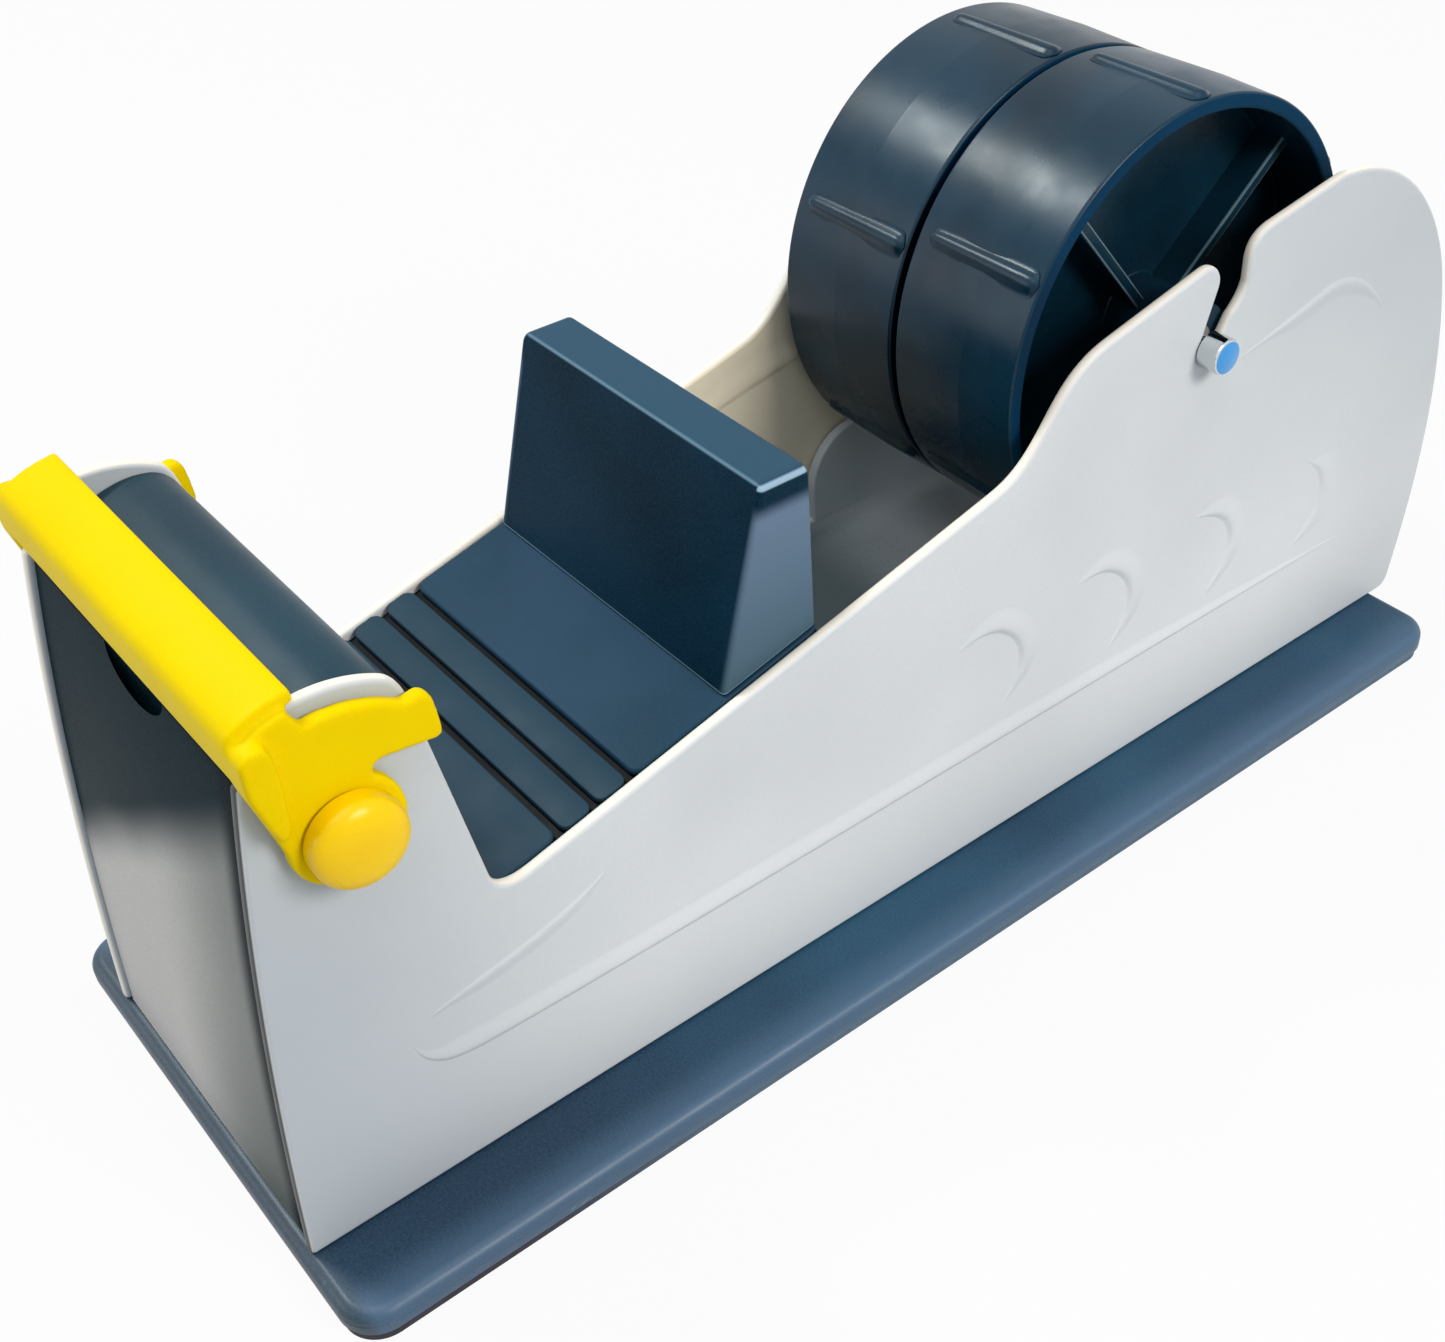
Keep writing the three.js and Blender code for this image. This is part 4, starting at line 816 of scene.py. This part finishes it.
def tray_plastic():
    """The tray's dark plastic painted pale as painted light: palest on the cheeks and in a band under the
    rolls, with painted shade at the front of the floor.
    """
    # Painted light: the tray's dark plastic is painted pale.
    finish = dark_plastic("tray plastic, satin", "b8c2ca", "c8d2da", 0.42)
    along = finish.axis("Y")
    # Painted light: the cheeks are painted palest.
    finish.coat(finish.spread(finish.reach(), 0.0265, 0.0285, 0, 0.8), "ced8e0")
    # Painted shade: darker at the front of the floor.
    front = finish.ease(along, 0.012, 0.034, 1, 0)
    finish.coat(finish.times(front, finish.spread(finish.axis("Z"), 0.033, 0.036, 1, 0.2)), "5c6970")
    # Painted light: a paler band across the floor under the rolls.
    painted_light_band = finish.ease(along, 0.028, 0.042, 0, 0.9)
    finish.coat(finish.times(painted_light_band, finish.ease(along, 0.06, 0.08, 1, 0)), "e6eef8")
    return finish


finish_with(trough, tray_plastic())
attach(trough, "frame")
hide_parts("roll_tray")


# Deck
# The inclined bridge that the tape runs over: a moulded box open at the bottom, with four raised pads on
# top and a deep groove between each two of them. It stands on the slab between the plates.

DECK_FRONT = -82.0
DECK_REAR = -25.1
DECK_SLOPE = 0.264
DECK_WALL = 2.5
DECK_LEVEL_AT_AXLE = 86.3
PAD_RISE = 1.3
STRIP_SINK = 0.16
PAD_CORNER = 1.7
PAD_RIM = 0.4
PADS = (
    (DECK_FRONT, -71.15, 0.0), (-70.0, -65.2, STRIP_SINK),
    (-64.1, -59.3, STRIP_SINK), (-58.2, DECK_REAR, 0.0),
)


def on_deck(y, drop=0.0):
    return (y, DECK_LEVEL_AT_AXLE + DECK_SLOPE * (y - AXLE_Y) - drop)


deck = drawn(
    "deck_moulding",
    [
        (DECK_FRONT, SLAB_TOP), on_deck(DECK_FRONT, PAD_RISE),
        on_deck(DECK_REAR, PAD_RISE), (DECK_REAR, SLAB_TOP),
        (DECK_REAR - DECK_WALL, SLAB_TOP), on_deck(DECK_REAR - DECK_WALL, PAD_RISE + DECK_WALL),
        on_deck(DECK_FRONT + DECK_WALL, PAD_RISE + DECK_WALL), (DECK_FRONT + DECK_WALL, SLAB_TOP),
    ],
    -PANEL_HALF_WIDTH,
    PANEL_HALF_WIDTH,
)
smooth_skin(deck, 35)
parts = [deck]
for number, (pad_front, pad_rear, crown) in enumerate(PADS):
    middle = (pad_front + pad_rear) / 2
    top = [on_deck(pad_front), on_deck((pad_front + middle) / 2, -0.75 * crown), on_deck(middle, -crown),
           on_deck((pad_rear + middle) / 2, -0.75 * crown), on_deck(pad_rear)]
    pad = drawn(
        f"deck_pad_{number + 1}",
        [on_deck(pad_front, PAD_RISE), *((y, z - crown) for y, z in top), on_deck(pad_rear, PAD_RISE)],
        -PANEL_HALF_WIDTH,
        PANEL_HALF_WIDTH,
    )
    at_bench(pad)
    mark(pad, "EDGE", lambda a, b: abs(a.x - b.x) < 0.01 and abs(a.y - b.y) < 0.01)
    round_marked(PAD_CORNER, 6)
    put_down()
    round_over(pad, PAD_RIM, 3, 25, keep_apart=True)
    smooth_skin(pad, 35)
    parts.append(pad)
deck = joined_piece("deck_moulding", parts)


def deck_plastic():
    """The dark plastic with painted shade in the grooves and the front of the deck greyer."""
    finish = dark_plastic("deck plastic, satin", "1a374a", "233f56", 0.42, 0.05)
    along = finish.axis("Y")
    finish.coat(finish.spread(along, -0.0592, -0.0583, 0.55, 0), "263b45")
    # Painted shade: near black in the grooves, below the level of the pads.
    level = finish.sum("ADD", finish.axis("Z"), finish.times(along, -DECK_SLOPE))
    finish.coat(finish.spread(level, 0.0715, 0.0720, 1, 0), "020507")
    return finish


finish_with(deck, deck_plastic())
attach(deck, "frame")
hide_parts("deck")


# Divider
# The tall moulded block that keeps the tapes apart from the deck, with soft edges all round. Two screws
# hold it from under the deck.

DIVIDER_HALF = 29.0
DIVIDER_CORNER = 1.8
DIVIDER_SOFT = 0.7
DIVIDER_SOFT_FROM = 67

crown_front, crown_rear = (-33.4, 92.3), (-25.4, 92.3)
foot_front, foot_rear = (-42.2, 61.7), (-25.4, 66.14)


def on_front(point):
    slant = (crown_front[0] - foot_front[0]) / (crown_front[1] - foot_front[1])
    return abs(point.y - foot_front[0] - (point.z - foot_front[1]) * slant) < 0.02


def on_rear(point):
    return abs(point.y - foot_rear[0]) < 0.02


divider = drawn(
    "divider_moulding", [foot_front, foot_rear, crown_rear, crown_front], -DIVIDER_HALF, DIVIDER_HALF
)
at_bench(divider)
mark(divider, "EDGE", lambda a, b: min(a.z, b.z) > 92 and abs(a.x) > 28 and abs(a.x - b.x) < 0.01)
round_marked(DIVIDER_CORNER, 7)
mark(divider, "EDGE", lambda a, b: (
    (on_front(a) and on_front(b) or on_rear(a) and on_rear(b)) and max(a.z, b.z) > DIVIDER_SOFT_FROM
))
round_marked(DIVIDER_SOFT, 4)
put_down()
round_over(divider, 0.25, 2, 40, keep_apart=True)
smooth_skin(divider, 35)


def divider_plastic():
    """The dark plastic, painted paler on the top and the ends as painted light, with painted highlights along
    its front top edge and foot and a painted glint at its near top corner.
    """
    finish = dark_plastic("divider plastic, satin", "051f2f", "0a2c40", 0.4, 0.03)
    height, along = finish.axis("Z"), finish.axis("Y")
    # Painted reflection: the ends are paler, more so higher up.
    end = finish.ease(finish.reach(), 0.0276, 0.0288, 0, 0.95)
    end = finish.times(end, finish.ease(height, 0.0868, 0.0896, 1, 0))
    finish.coat(end, finish.blend(finish.spread(height, 0.062, 0.086, 0, 1), tone("46606f"), tone("647a92")))
    # Painted light: the top face is paler.
    finish.coat(finish.spread(height, 0.0917, 0.0922, 0, 0.9), "314e62")
    # Painted highlight: thin pale lines along the front top edge and along the foot.
    painted_highlight = finish.spread(height, 0.0918, 0.0920, 0, 0.6)
    painted_highlight = finish.times(painted_highlight, finish.spread(along, -0.0333, -0.0330, 1, 0))
    level = finish.sum("ADD", height, finish.times(along, -DECK_SLOPE))
    finish.coat(finish.sum("MAXIMUM", painted_highlight, finish.spread(level, 0.07302, 0.07322, 1, 0)), "7796aa")
    # Painted highlight: a glint at the near top corner.
    tip = finish.spread(height, 0.0913, 0.0915, 0, 1)
    tip = finish.times(tip, finish.spread(height, 0.0919, 0.0921, 1, 0))
    finish.coat(finish.times(tip, finish.spread(finish.axis("X"), 0.0278, 0.0281, 0, 1)), "8fabc0")
    return finish


finish_with(divider, divider_plastic())
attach(divider, "frame")
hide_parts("divider")
finish_solids(ZINC, "divider_screw_1", "divider_screw_2")


# Blade, its holder and screws
# A toothed strip of hardened steel under the guard, screwed on a plastic holder between the plates.

def blade_steel():
    finish = Finish("blade steel, ground")
    finish.tones(finish.noise(1.5, 3), "9ba0a3", "c9cccd")
    finish.set(
        Metallic=1.0,
        Roughness=finish.spread(finish.noise(0.5, 3, stretch=(6, 1, 1)), 0.3, 0.7, 0.2, 0.38),
        Normal=finish.grain(0.4, 2, 0.01, 0.5, stretch=(8, 1, 1)),
    )
    return finish


BLADE_STEEL = blade_steel()
finish_solids(DARK_PLASTIC, "blade_holder")
finish_solids(BLADE_STEEL, "blade")
finish_solids(ZINC, "blade_screw_1", "blade_screw_2")


# Head cover
# A thin curved plastic shell between the plates' round heads. It leads the tape up to the blade.

def flowing(points, steps=5):
    """A smooth line through the points."""
    line = [points[0]]
    for place in range(len(points) - 1):
        before = points[max(place - 1, 0)]
        start, end = points[place], points[place + 1]
        after = points[min(place + 2, len(points) - 1)]
        for step in range(1, steps + 1):
            t = step / steps
            line.append(tuple(
                b + 0.5 * t * (c - a + (2 * a - 5 * b + 4 * c - d) * t + (3 * b - a - 3 * c + d) * t * t)
                for a, b, c, d in zip(before, start, end, after)
            ))
    return line


cover_outside = flowing([
    (-105.41, 88.81), (-102.1, 90.5), (-98.79, 91.7), (-95.41, 92.3), (-91.9, 91.9), (-89.7, 90.4),
    (-88.4, 87.9), (-87.5, 84.2), (-85.7, 72.0), (-82.5, 51.2),
])
cover_inside = flowing([
    (-84.4, 51.2), (-87.6, 72.0), (-89.5, 84.0), (-90.5, 87.3), (-92.2, 89.6), (-95.5, 90.3), (-98.7, 89.8),
    (-103.41, 88.0),
])
cover = drawn(
    "head_cover_shell", cover_outside + cover_inside + [(-105.3, 87.8)], -PANEL_HALF_WIDTH, PANEL_HALF_WIDTH
)
round_over(cover, 0.25, 2, 50, keep_apart=True)
smooth_skin(cover, 40)
finish_with(cover, dark_plastic("cover plastic, satin", "152f3c", "1c3a48", 0.36, 0.12))
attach(cover, "frame")
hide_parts("head_cover")


# Guard shaft, bushes, return spring and its collar
# A plated pin runs through a nylon bush in each plate. The spring on it pulls the guard back down.

def white_nylon():
    finish = Finish("white nylon")
    finish.tones(finish.noise(4, 2), "d9d7cf", "e6e4dd")
    finish.set(
        Roughness=finish.uneven(3, 2, 0.45, 0.6),
        Normal=finish.grain(0.5, 2, 0.01, 0.4),
    )
    return finish


finish_solids(white_nylon(), "right_shaft_bush", "left_shaft_bush")
finish_solids(BLADE_STEEL, "guard_spring")
finish_solids(ZINC, "guard_shaft", "spring_collar")


# Guard
# The yellow moulding that swings over the blade: a curved bar across the front, an arm with a hooked tab
# at each side, and a raised rib down the front edge of each arm. Its edges are soft all round.

GUARD_FRONT = -110.6
GUARD_LIP = 88.3
BAR_HALF = 33.0
ARM_INNER = 32.1
ARM_OUTER = 34.5
RIB_OUTER = 36.5
LOBE = 7.7
GUARD_RADIUS = 21.6
GUARD_HOLLOW = 19.8
GUARD_VOXEL = 0.34
SHAFT_BORE = 2.65

pivot = (PIVOT_Y, PIVOT_Z)
bar_outline = [(GUARD_FRONT, GUARD_LIP), (-108.8, GUARD_LIP), (-108.8, 93.79)]
bar_outline += arc(pivot, GUARD_HOLLOW, 116.7, 95, 10) + arc(pivot, GUARD_RADIUS, 95, 114, 10)
bar_outline += bend(bar_outline[-1], (GUARD_FRONT, 95.11), (GUARD_FRONT, 92.84), steps=6)

lobe_start = arc(pivot, LOBE, 176, 177, 1)[0]
arm_front = [(GUARD_FRONT, 93.16), (GUARD_FRONT, GUARD_LIP)]
arm_front += bend(arm_front[-1], (-109.19, 83.01), lobe_start, steps=10)
arm_outline = arm_front + arc(pivot, LOBE, 176, 416, 40)
arm_outline += [(-94.72, 84.01), (-87.0, 83.0)]
arm_outline += bend(arm_outline[-1], (-85.7, 82.9), (-85.86, 84.2), steps=4) + [(-86.2, 88.2)]
arm_outline += bend(arm_outline[-1], (-86.4, 90.0), (-87.8, 90.1), steps=4) + [(-89.2, 89.9)]
arm_outline += arc(pivot, 17.0, 52, 96.5, 14) + arc(pivot, 20.2, 100, 112, 6)
rib_outline = [(GUARD_FRONT, 93.0)] + arm_front[1:7] + [(-108.2, 80.4), (-106.9, 81.4)]
rib_outline += bend(rib_outline[-1], (-106.3, 86.0), (-106.6, 92.2), steps=8)
rib_outline += bend(rib_outline[-1], (-106.8, 94.3), (-108.2, 94.3), steps=4) + [(-109.8, 94.0)]


def guard_yellow(name, deep, pale, shine=0.02, gloss=0.4):
    finish = Finish(name)
    finish.tones(finish.uneven(20, 2, 0, 1, smooth=True), deep, pale)
    finish.coat(finish.uneven(0.3, 1, 0, 0.25, 0.36), "ecce00")
    finish.set(
        Roughness=finish.uneven(5, 2, gloss - 0.04, gloss + 0.05),
        Specular_IOR_Level=shine,
        Normal=finish.grain(0.5, 2, 0.006, 0.2),
    )
    return finish


guard_parts = [drawn("guard_bar", bar_outline, -BAR_HALF, BAR_HALF)]
for side in (1, -1):
    arm = drawn("guard_arm", arm_outline, *sorted((side * ARM_INNER, side * ARM_OUTER)))
    cut_out(arm, rod_along_x(SHAFT_BORE, -60, 60, PIVOT_Y, PIVOT_Z))
    rib = drawn("guard_rib", rib_outline, *sorted((side * (ARM_INNER + 0.4), side * RIB_OUTER)))
    guard_parts += [arm, rib]
guard = joined_piece("guard_moulding", guard_parts)
pick_up(guard)
guard.data.remesh_voxel_size = GUARD_VOXEL * MM
guard.data.remesh_voxel_adaptivity = 0
bpy.ops.object.voxel_remesh()
soften = guard.modifiers.new("soft edges", "SMOOTH")
soften.factor = 0.5
soften.iterations = 22
bpy.ops.object.modifier_apply(modifier=soften.name)
smooth_skin(guard, 60)
finish_with(guard, guard_yellow("guard yellow, satin", "dfc200", "e4c800"))
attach(guard, "guard")
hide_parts("guard")


# Guard caps
# Two domed buttons pushed on the ends of the shaft, in a slightly deeper yellow.

CAP_RADIUS = 6.3
CAP_SEAT = 34.8
CAP_HEIGHT = 4.7
CAP_BORE_DEPTH = 2.0
CAP_SIDE_SHARE = 0.45
DOME_STEPS = 14


def turned(name, profile, y, z, steps=72):
    """A profile of (distance from the axis, place along X), turned about a line along X."""
    piece = line_of(name, [(along, y, z + away) for away, along in profile])
    bpy.ops.mesh.spin(steps=steps, angle=2 * math.pi, center=(0, y * MM, z * MM), axis=(1, 0, 0))
    mark_all()
    bpy.ops.mesh.remove_doubles(threshold=0.005 * MM)
    bpy.ops.mesh.normals_make_consistent(inside=False)
    put_down()
    return piece


def guard_cap(name, side):
    low = CAP_HEIGHT * CAP_SIDE_SHARE
    dome = [
        (CAP_RADIUS * math.cos(a) ** 0.8, low + (CAP_HEIGHT - low) * math.sin(a))
        for a in (math.pi / 2 * step / DOME_STEPS for step in range(1, DOME_STEPS))
    ]
    profile = [
        (0, CAP_BORE_DEPTH), (SHAFT_BORE, CAP_BORE_DEPTH), (SHAFT_BORE, 0), (CAP_RADIUS - 0.25, 0),
        (CAP_RADIUS, 0.3), (CAP_RADIUS, low), *dome, (0, CAP_HEIGHT),
    ]
    return turned(name, [(r, side * (CAP_SEAT + along)) for r, along in profile], PIVOT_Y, PIVOT_Z)


CAP_YELLOW = guard_yellow("cap yellow, half gloss", "e6bb00", "eec700", 0.22, 0.26)
for word, side in (("right", 1), ("left", -1)):
    cap = guard_cap(word + "_guard_button", side)
    smooth_skin(cap, 40)
    finish_with(cap, CAP_YELLOW)
    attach(cap, "guard")
    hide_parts(word + "_guard_cap")


# Axle
# A chromed steel pin that lies in the hooked slots of the plates and lifts out with the rolls. It is
# necked where it sits in the plates, and its end faces carry a painted blue reflection.

AXLE_RADIUS = 3.0
AXLE_END = 35.9
NECK_RADIUS = 1.75
NECK_FROM = 29.5
NECK_TO = 32.1


def axle_chrome():
    finish = Finish("axle chrome, painted blue reflection on the ends")
    at_end = finish.spread(finish.reach(), AXLE_END * MM - 0.00012, AXLE_END * MM - 0.00004, 0, 1)
    finish.tones(finish.noise(3, 2), "c4c9cc", "dde0e1")
    # Painted reflection: the end faces are painted blue.
    finish.coat(at_end, "3a94d8")
    finish.set(
        Metallic=finish.spread(at_end, 0, 1, 1, 0.35),
        Roughness=finish.uneven(1.2, 3, 0.06, 0.14),
    )
    return finish


half = [
    (AXLE_RADIUS, NECK_FROM), (NECK_RADIUS, NECK_FROM), (NECK_RADIUS, NECK_TO), (AXLE_RADIUS, NECK_TO),
    (AXLE_RADIUS, AXLE_END - 0.6), (AXLE_RADIUS - 0.15, AXLE_END - 0.2), (AXLE_RADIUS - 0.5, AXLE_END),
    (0, AXLE_END),
]
axle = turned("axle_pin", [(r, -x) for r, x in reversed(half)] + half, AXLE_Y, AXLE_Z, 64)
smooth_skin(axle, 35)
finish_with(axle, axle_chrome())
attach(axle, "axle")
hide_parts("axle")


# Core hubs
# Two dark moulded wheels side by side on the axle. Each has a deep rim with a fine parting line, a web
# with four spokes on its right face, a boss, and six raised ribs that grip the cardboard core of a roll.

HUB_WIDTH = 25.8
HUB_RADIUS = 38.0
HUB_INNER = 35.2
HUB_DRAFT = 0.3
WEB_FROM = 11.99
WEB_TO = 14.59
BOSS_RADIUS = 6.5
BORE_RADIUS = 3.3
SPOKE_REACH = 20.19
SPOKE_SOFT = 0.35
SPOKE_ROOT = 5.0
SPOKE_HALF = 1.0
SPOKE_TURN = 10
RIB_START = 2.4
RIB_LENGTH = 22.9
RIB_STEPS = 7
RIB_SINK = 0.1
RIB_SECTION = (
    (-2.3, -0.6), (-2.3, -0.1), (-1.8, -0.02), (-1.4, 0.2), (-1.05, 0.5), (-0.65, 0.78), (0, 0.9),
    (0.65, 0.78), (1.05, 0.5), (1.4, 0.2), (1.8, -0.02), (2.3, -0.1), (2.3, -0.6),
)
RIB_FADE = (
    (0, 0.0), (0.008, 0.6), (0.05, 0.78), (0.4, 0.86), (0.85, 1.0), (0.965, 1.0), (0.99, 0.8), (1, 0.0),
)


def core_hub(name, start, rib_angle, parting):
    end, web, web_end, rim = start + HUB_WIDTH, start + WEB_FROM, start + WEB_TO, HUB_RADIUS - HUB_DRAFT
    profile = [
        (BORE_RADIUS, start), (BOSS_RADIUS, start), (BOSS_RADIUS, web), (HUB_INNER, web), (HUB_INNER, start),
        (rim, start), (HUB_RADIUS, parting), (rim, end), (HUB_INNER, end), (HUB_INNER, web_end),
        (BOSS_RADIUS, web_end), (BOSS_RADIUS, end), (BORE_RADIUS, end), (BORE_RADIUS, start),
    ]
    wheel = turned(name, profile, AXLE_Y, AXLE_Z, 160)
    at_bench(wheel)
    mark(wheel, "EDGE", lambda a, b: abs(a.x - parting) < 0.01 and abs(b.x - parting) < 0.01)
    bpy.ops.mesh.mark_sharp()
    put_down()
    round_over(wheel, 0.55, 3, 35)
    smooth_skin(wheel, 35)
    pieces = [wheel]
    for quarter in range(4):
        angle = math.radians(rib_angle + SPOKE_TURN + 90 * quarter)
        c, s = math.cos(angle), math.sin(angle)
        tip = HUB_INNER + 1.0
        corners = [(SPOKE_ROOT, -SPOKE_HALF), (tip, -SPOKE_HALF), (tip, SPOKE_HALF), (SPOKE_ROOT, SPOKE_HALF)]
        spoke = drawn(
            name + "_spoke",
            [(AXLE_Y + out * c - side * s, AXLE_Z + out * s + side * c) for out, side in corners],
            web_end - 1,
            start + SPOKE_REACH,
        )
        round_over(spoke, SPOKE_SOFT, 2)
        smooth_skin(spoke, 35)
        pieces.append(spoke)
    for sixth in range(6):
        angle = math.radians(rib_angle + 60 * sixth)
        c, s = math.cos(angle), math.sin(angle)
        foot = HUB_RADIUS - RIB_SINK
        stand = Matrix((
            (1, 0, 0, 0),
            (0, s, c, (AXLE_Y + foot * c) * MM),
            (0, -c, s, (AXLE_Z + foot * s) * MM),
            (0, 0, 0, 1),
        ))
        line = [(start + RIB_START + RIB_LENGTH * step / RIB_STEPS, 0) for step in range(RIB_STEPS + 1)]
        rib = swept(name + "_rib", line, RIB_SECTION, RIB_FADE, stand)
        smooth_skin(rib, 50)
        pieces.append(rib)
    return joined_piece(name, pieces)


def rim_plastic():
    """The matt ends of the rims: painted blue as the light they catch, with painted shade across their middle
    height, which darkens them at the front, and between the hubs.
    """
    # Painted light: the blue of the rim ends.
    finish = dark_plastic("hub plastic, matt rim ends", "032940", "053250", 0.5, 0.03, coarse=0.3)
    height = finish.axis("Z")
    # Painted shade across the middle height of the rim ends.
    shaded = finish.ease(height, 0.078, 0.090, 0, 0.6)
    finish.coat(finish.times(shaded, finish.ease(height, 0.098, 0.110, 1, 0)), "0c2030")
    # Painted shade where the rim ends face each other between the hubs.
    between = finish.spread(finish.reach(), 0.0014, 0.002, 1, 0)
    finish.coat(finish.times(between, finish.ease(height, 0.1, 0.114, 1, 0)), "02070c")
    return finish


HUB_PLASTIC = dark_plastic("hub plastic, half gloss", "021b28", "082d40", 0.29, 0.19, coarse=0.3)
RIM_PLASTIC = rim_plastic()
# Painted highlight: a pale tone for the spokes' outer edges.
SPOKE_EDGE = dark_plastic("hub plastic, painted highlight on spoke edges", "4e6774", "5f7783", 0.35, 0.2)


def from_axle(point):
    return math.dist((point.y, point.z), (AXLE_Y, AXLE_Z))


def finish_faces(hub, finish, wanted):
    """Puts one more finish on the wanted faces of the hub on the bench."""
    hub.data.materials.append(finish.material)
    mark(hub, "FACE", wanted)
    hub.active_material_index = len(hub.data.materials) - 1
    bpy.ops.object.material_slot_assign()


for word, start, rib_angle, parting in (("right", 0.6, 29.5, 15.5), ("left", -26.4, 34.5, -13.8)):
    hub = core_hub(word + "_core_hub", start, rib_angle, parting)
    finish_with(hub, HUB_PLASTIC)
    edge_x = start + SPOKE_REACH - SPOKE_SOFT / 2
    at_bench(hub)
    finish_faces(hub, RIM_PLASTIC, lambda c, n: abs(n.x) > 0.8 and from_axle(c) > HUB_INNER - 0.1)
    # Painted highlight on the rounded outer edges of the spokes.
    finish_faces(hub, SPOKE_EDGE, lambda c, n: (
        abs(c.x - edge_x) < SPOKE_SOFT / 2 and 0.2 < n.x < 0.97 and from_axle(c) < HUB_INNER - 1
    ))
    put_down()
    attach(hub, word + "_hub")
    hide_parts(word + "_hub")


# Washers
# Three dark plastic rings on the axle that space the hubs from each other and from the plates.

finish_solids(DARK_PLASTIC, "right_hub_washer", "middle_washer", "left_hub_washer")


# Camera, lamps, floor and background
# A phone-height view from the front right, one large window-like lamp high on the left, and a white floor.

CAMERA_PLACE = (0.192374, -0.153229, 0.222096)
CAMERA_TURN = (
    (0.64854058, 0.76102153, -0.01553547),
    (0.48721689, -0.43071296, -0.75967496),
    (-0.58482033, 0.48511089, -0.65011738),
)
FRAME_WIDTH, FRAME_HEIGHT = 1445, 1342
FOCAL_LENGTH = 1822.918
AIM_POINT = (860.058, 737.427)
SENSOR = 36
SKY_STRENGTH = 0.34
FLOOR_SIZE = 12
FLOOR_GREY = (0.55, 0.55, 0.56, 1)
FLOOR_GLOW = 0.93
WHITE = (1, 1, 1, 1)

camera_data = bpy.data.cameras.new("view")
camera_data.sensor_width = SENSOR
camera_data.lens = FOCAL_LENGTH / FRAME_WIDTH * SENSOR
camera_data.shift_x = (FRAME_WIDTH / 2 - AIM_POINT[0]) / FRAME_WIDTH
camera_data.shift_y = (AIM_POINT[1] - FRAME_HEIGHT / 2) / FRAME_WIDTH
camera_data.clip_start = 0.01
camera_data.clip_end = 50
camera = bpy.data.objects.new("view", camera_data)
bpy.context.scene.collection.objects.link(camera)
rows = [CAMERA_TURN[0], [-v for v in CAMERA_TURN[1]], [-v for v in CAMERA_TURN[2]]]
camera.matrix_world = Matrix.Translation(CAMERA_PLACE) @ Matrix(rows).transposed().to_4x4()
bpy.context.scene.camera = camera


def lamp(name, direction, distance, size, power, colour, aim):
    data = bpy.data.lights.new(name, "AREA")
    data.shape = "RECTANGLE"
    data.size, data.size_y = size
    data.energy = power
    data.color = tone(colour)[:3]
    made = bpy.data.objects.new(name, data)
    bpy.context.scene.collection.objects.link(made)
    away = Vector(direction).normalized()
    made.location = Vector(aim) + away * distance
    made.rotation_mode = "QUATERNION"
    made.rotation_quaternion = (-away).to_track_quat("-Z", "Y")
    made.visible_camera = False


lamp("window_left", (-0.62, -0.28, 0.77), 1.04, (0.26, 0.16), 6.2, "f2faf8", (0, 0.03, 0.09))
lamp("overhead", (0.12, -0.32, 1.0), 1.1, (0.8, 0.8), 4.6, "ffffff", (0, 0.03, 0.05))
lamp("upper_right", (0.80, 0.16, 0.58), 0.95, (0.36, 0.32), 6.4, "fff8f0", (0.02, 0.04, 0.04))
lamp("front_soft", (-0.55, -0.80, 0.25), 1.2, (0.8, 0.6), 3.0, "ffffff", (0, -0.1, 0.06))


def wired(tree, kind, sockets, operation=None):
    """The first output of a new node whose sockets are given a value or a link each."""
    node = tree.nodes.new("ShaderNode" + kind)
    if operation:
        node.operation = operation
    for key, value in sockets.items():
        if isinstance(value, bpy.types.NodeSocket):
            tree.links.new(value, node.inputs[key])
        else:
            node.inputs[key].default_value = value
    return node.outputs[0] if node.outputs else None


def cleared(holder):
    """The emptied node tree of a world or material, and its light path."""
    holder.use_nodes = True
    tree = holder.node_tree
    tree.nodes.clear()
    return tree, tree.nodes.new("ShaderNodeLightPath").outputs


world = bpy.data.worlds.new("white studio")
bpy.context.scene.world = world
sky, rays = cleared(world)
seen = wired(sky, "Math", {0: rays["Is Camera Ray"], 1: rays["Is Transmission Ray"]}, "MAXIMUM")
seen = wired(sky, "Math", {0: seen, 1: rays["Is Glossy Ray"]}, "MAXIMUM")
soft = wired(sky, "Background", {"Color": tone("f6f8fb"), "Strength": SKY_STRENGTH})
white = wired(sky, "Background", {"Color": WHITE, "Strength": 1.0})
wired(sky, "OutputWorld", {"Surface": wired(sky, "MixShader", {"Fac": seen, 1: soft, 2: white})})

put_down()
bpy.ops.mesh.primitive_plane_add(size=FLOOR_SIZE, location=(0, 0, 0))
floor = bpy.context.active_object
floor.name = "studio_floor"
floor_finish = bpy.data.materials.new("pale floor")
ground, rays = cleared(floor_finish)
seen = wired(ground, "Math", {0: rays["Is Camera Ray"], 1: rays["Is Glossy Ray"]}, "MAXIMUM")
share = wired(ground, "Math", {0: seen, 1: FLOOR_GLOW}, "MULTIPLY")
matt = wired(ground, "BsdfDiffuse", {"Color": FLOOR_GREY})
glow = wired(ground, "Emission", {"Color": WHITE, "Strength": 1.0})
wired(ground, "OutputMaterial", {"Surface": wired(ground, "MixShader", {"Fac": share, 1: matt, 2: glow})})
floor.data.materials.append(floor_finish)

bpy.context.scene.view_settings.view_transform = "Standard"
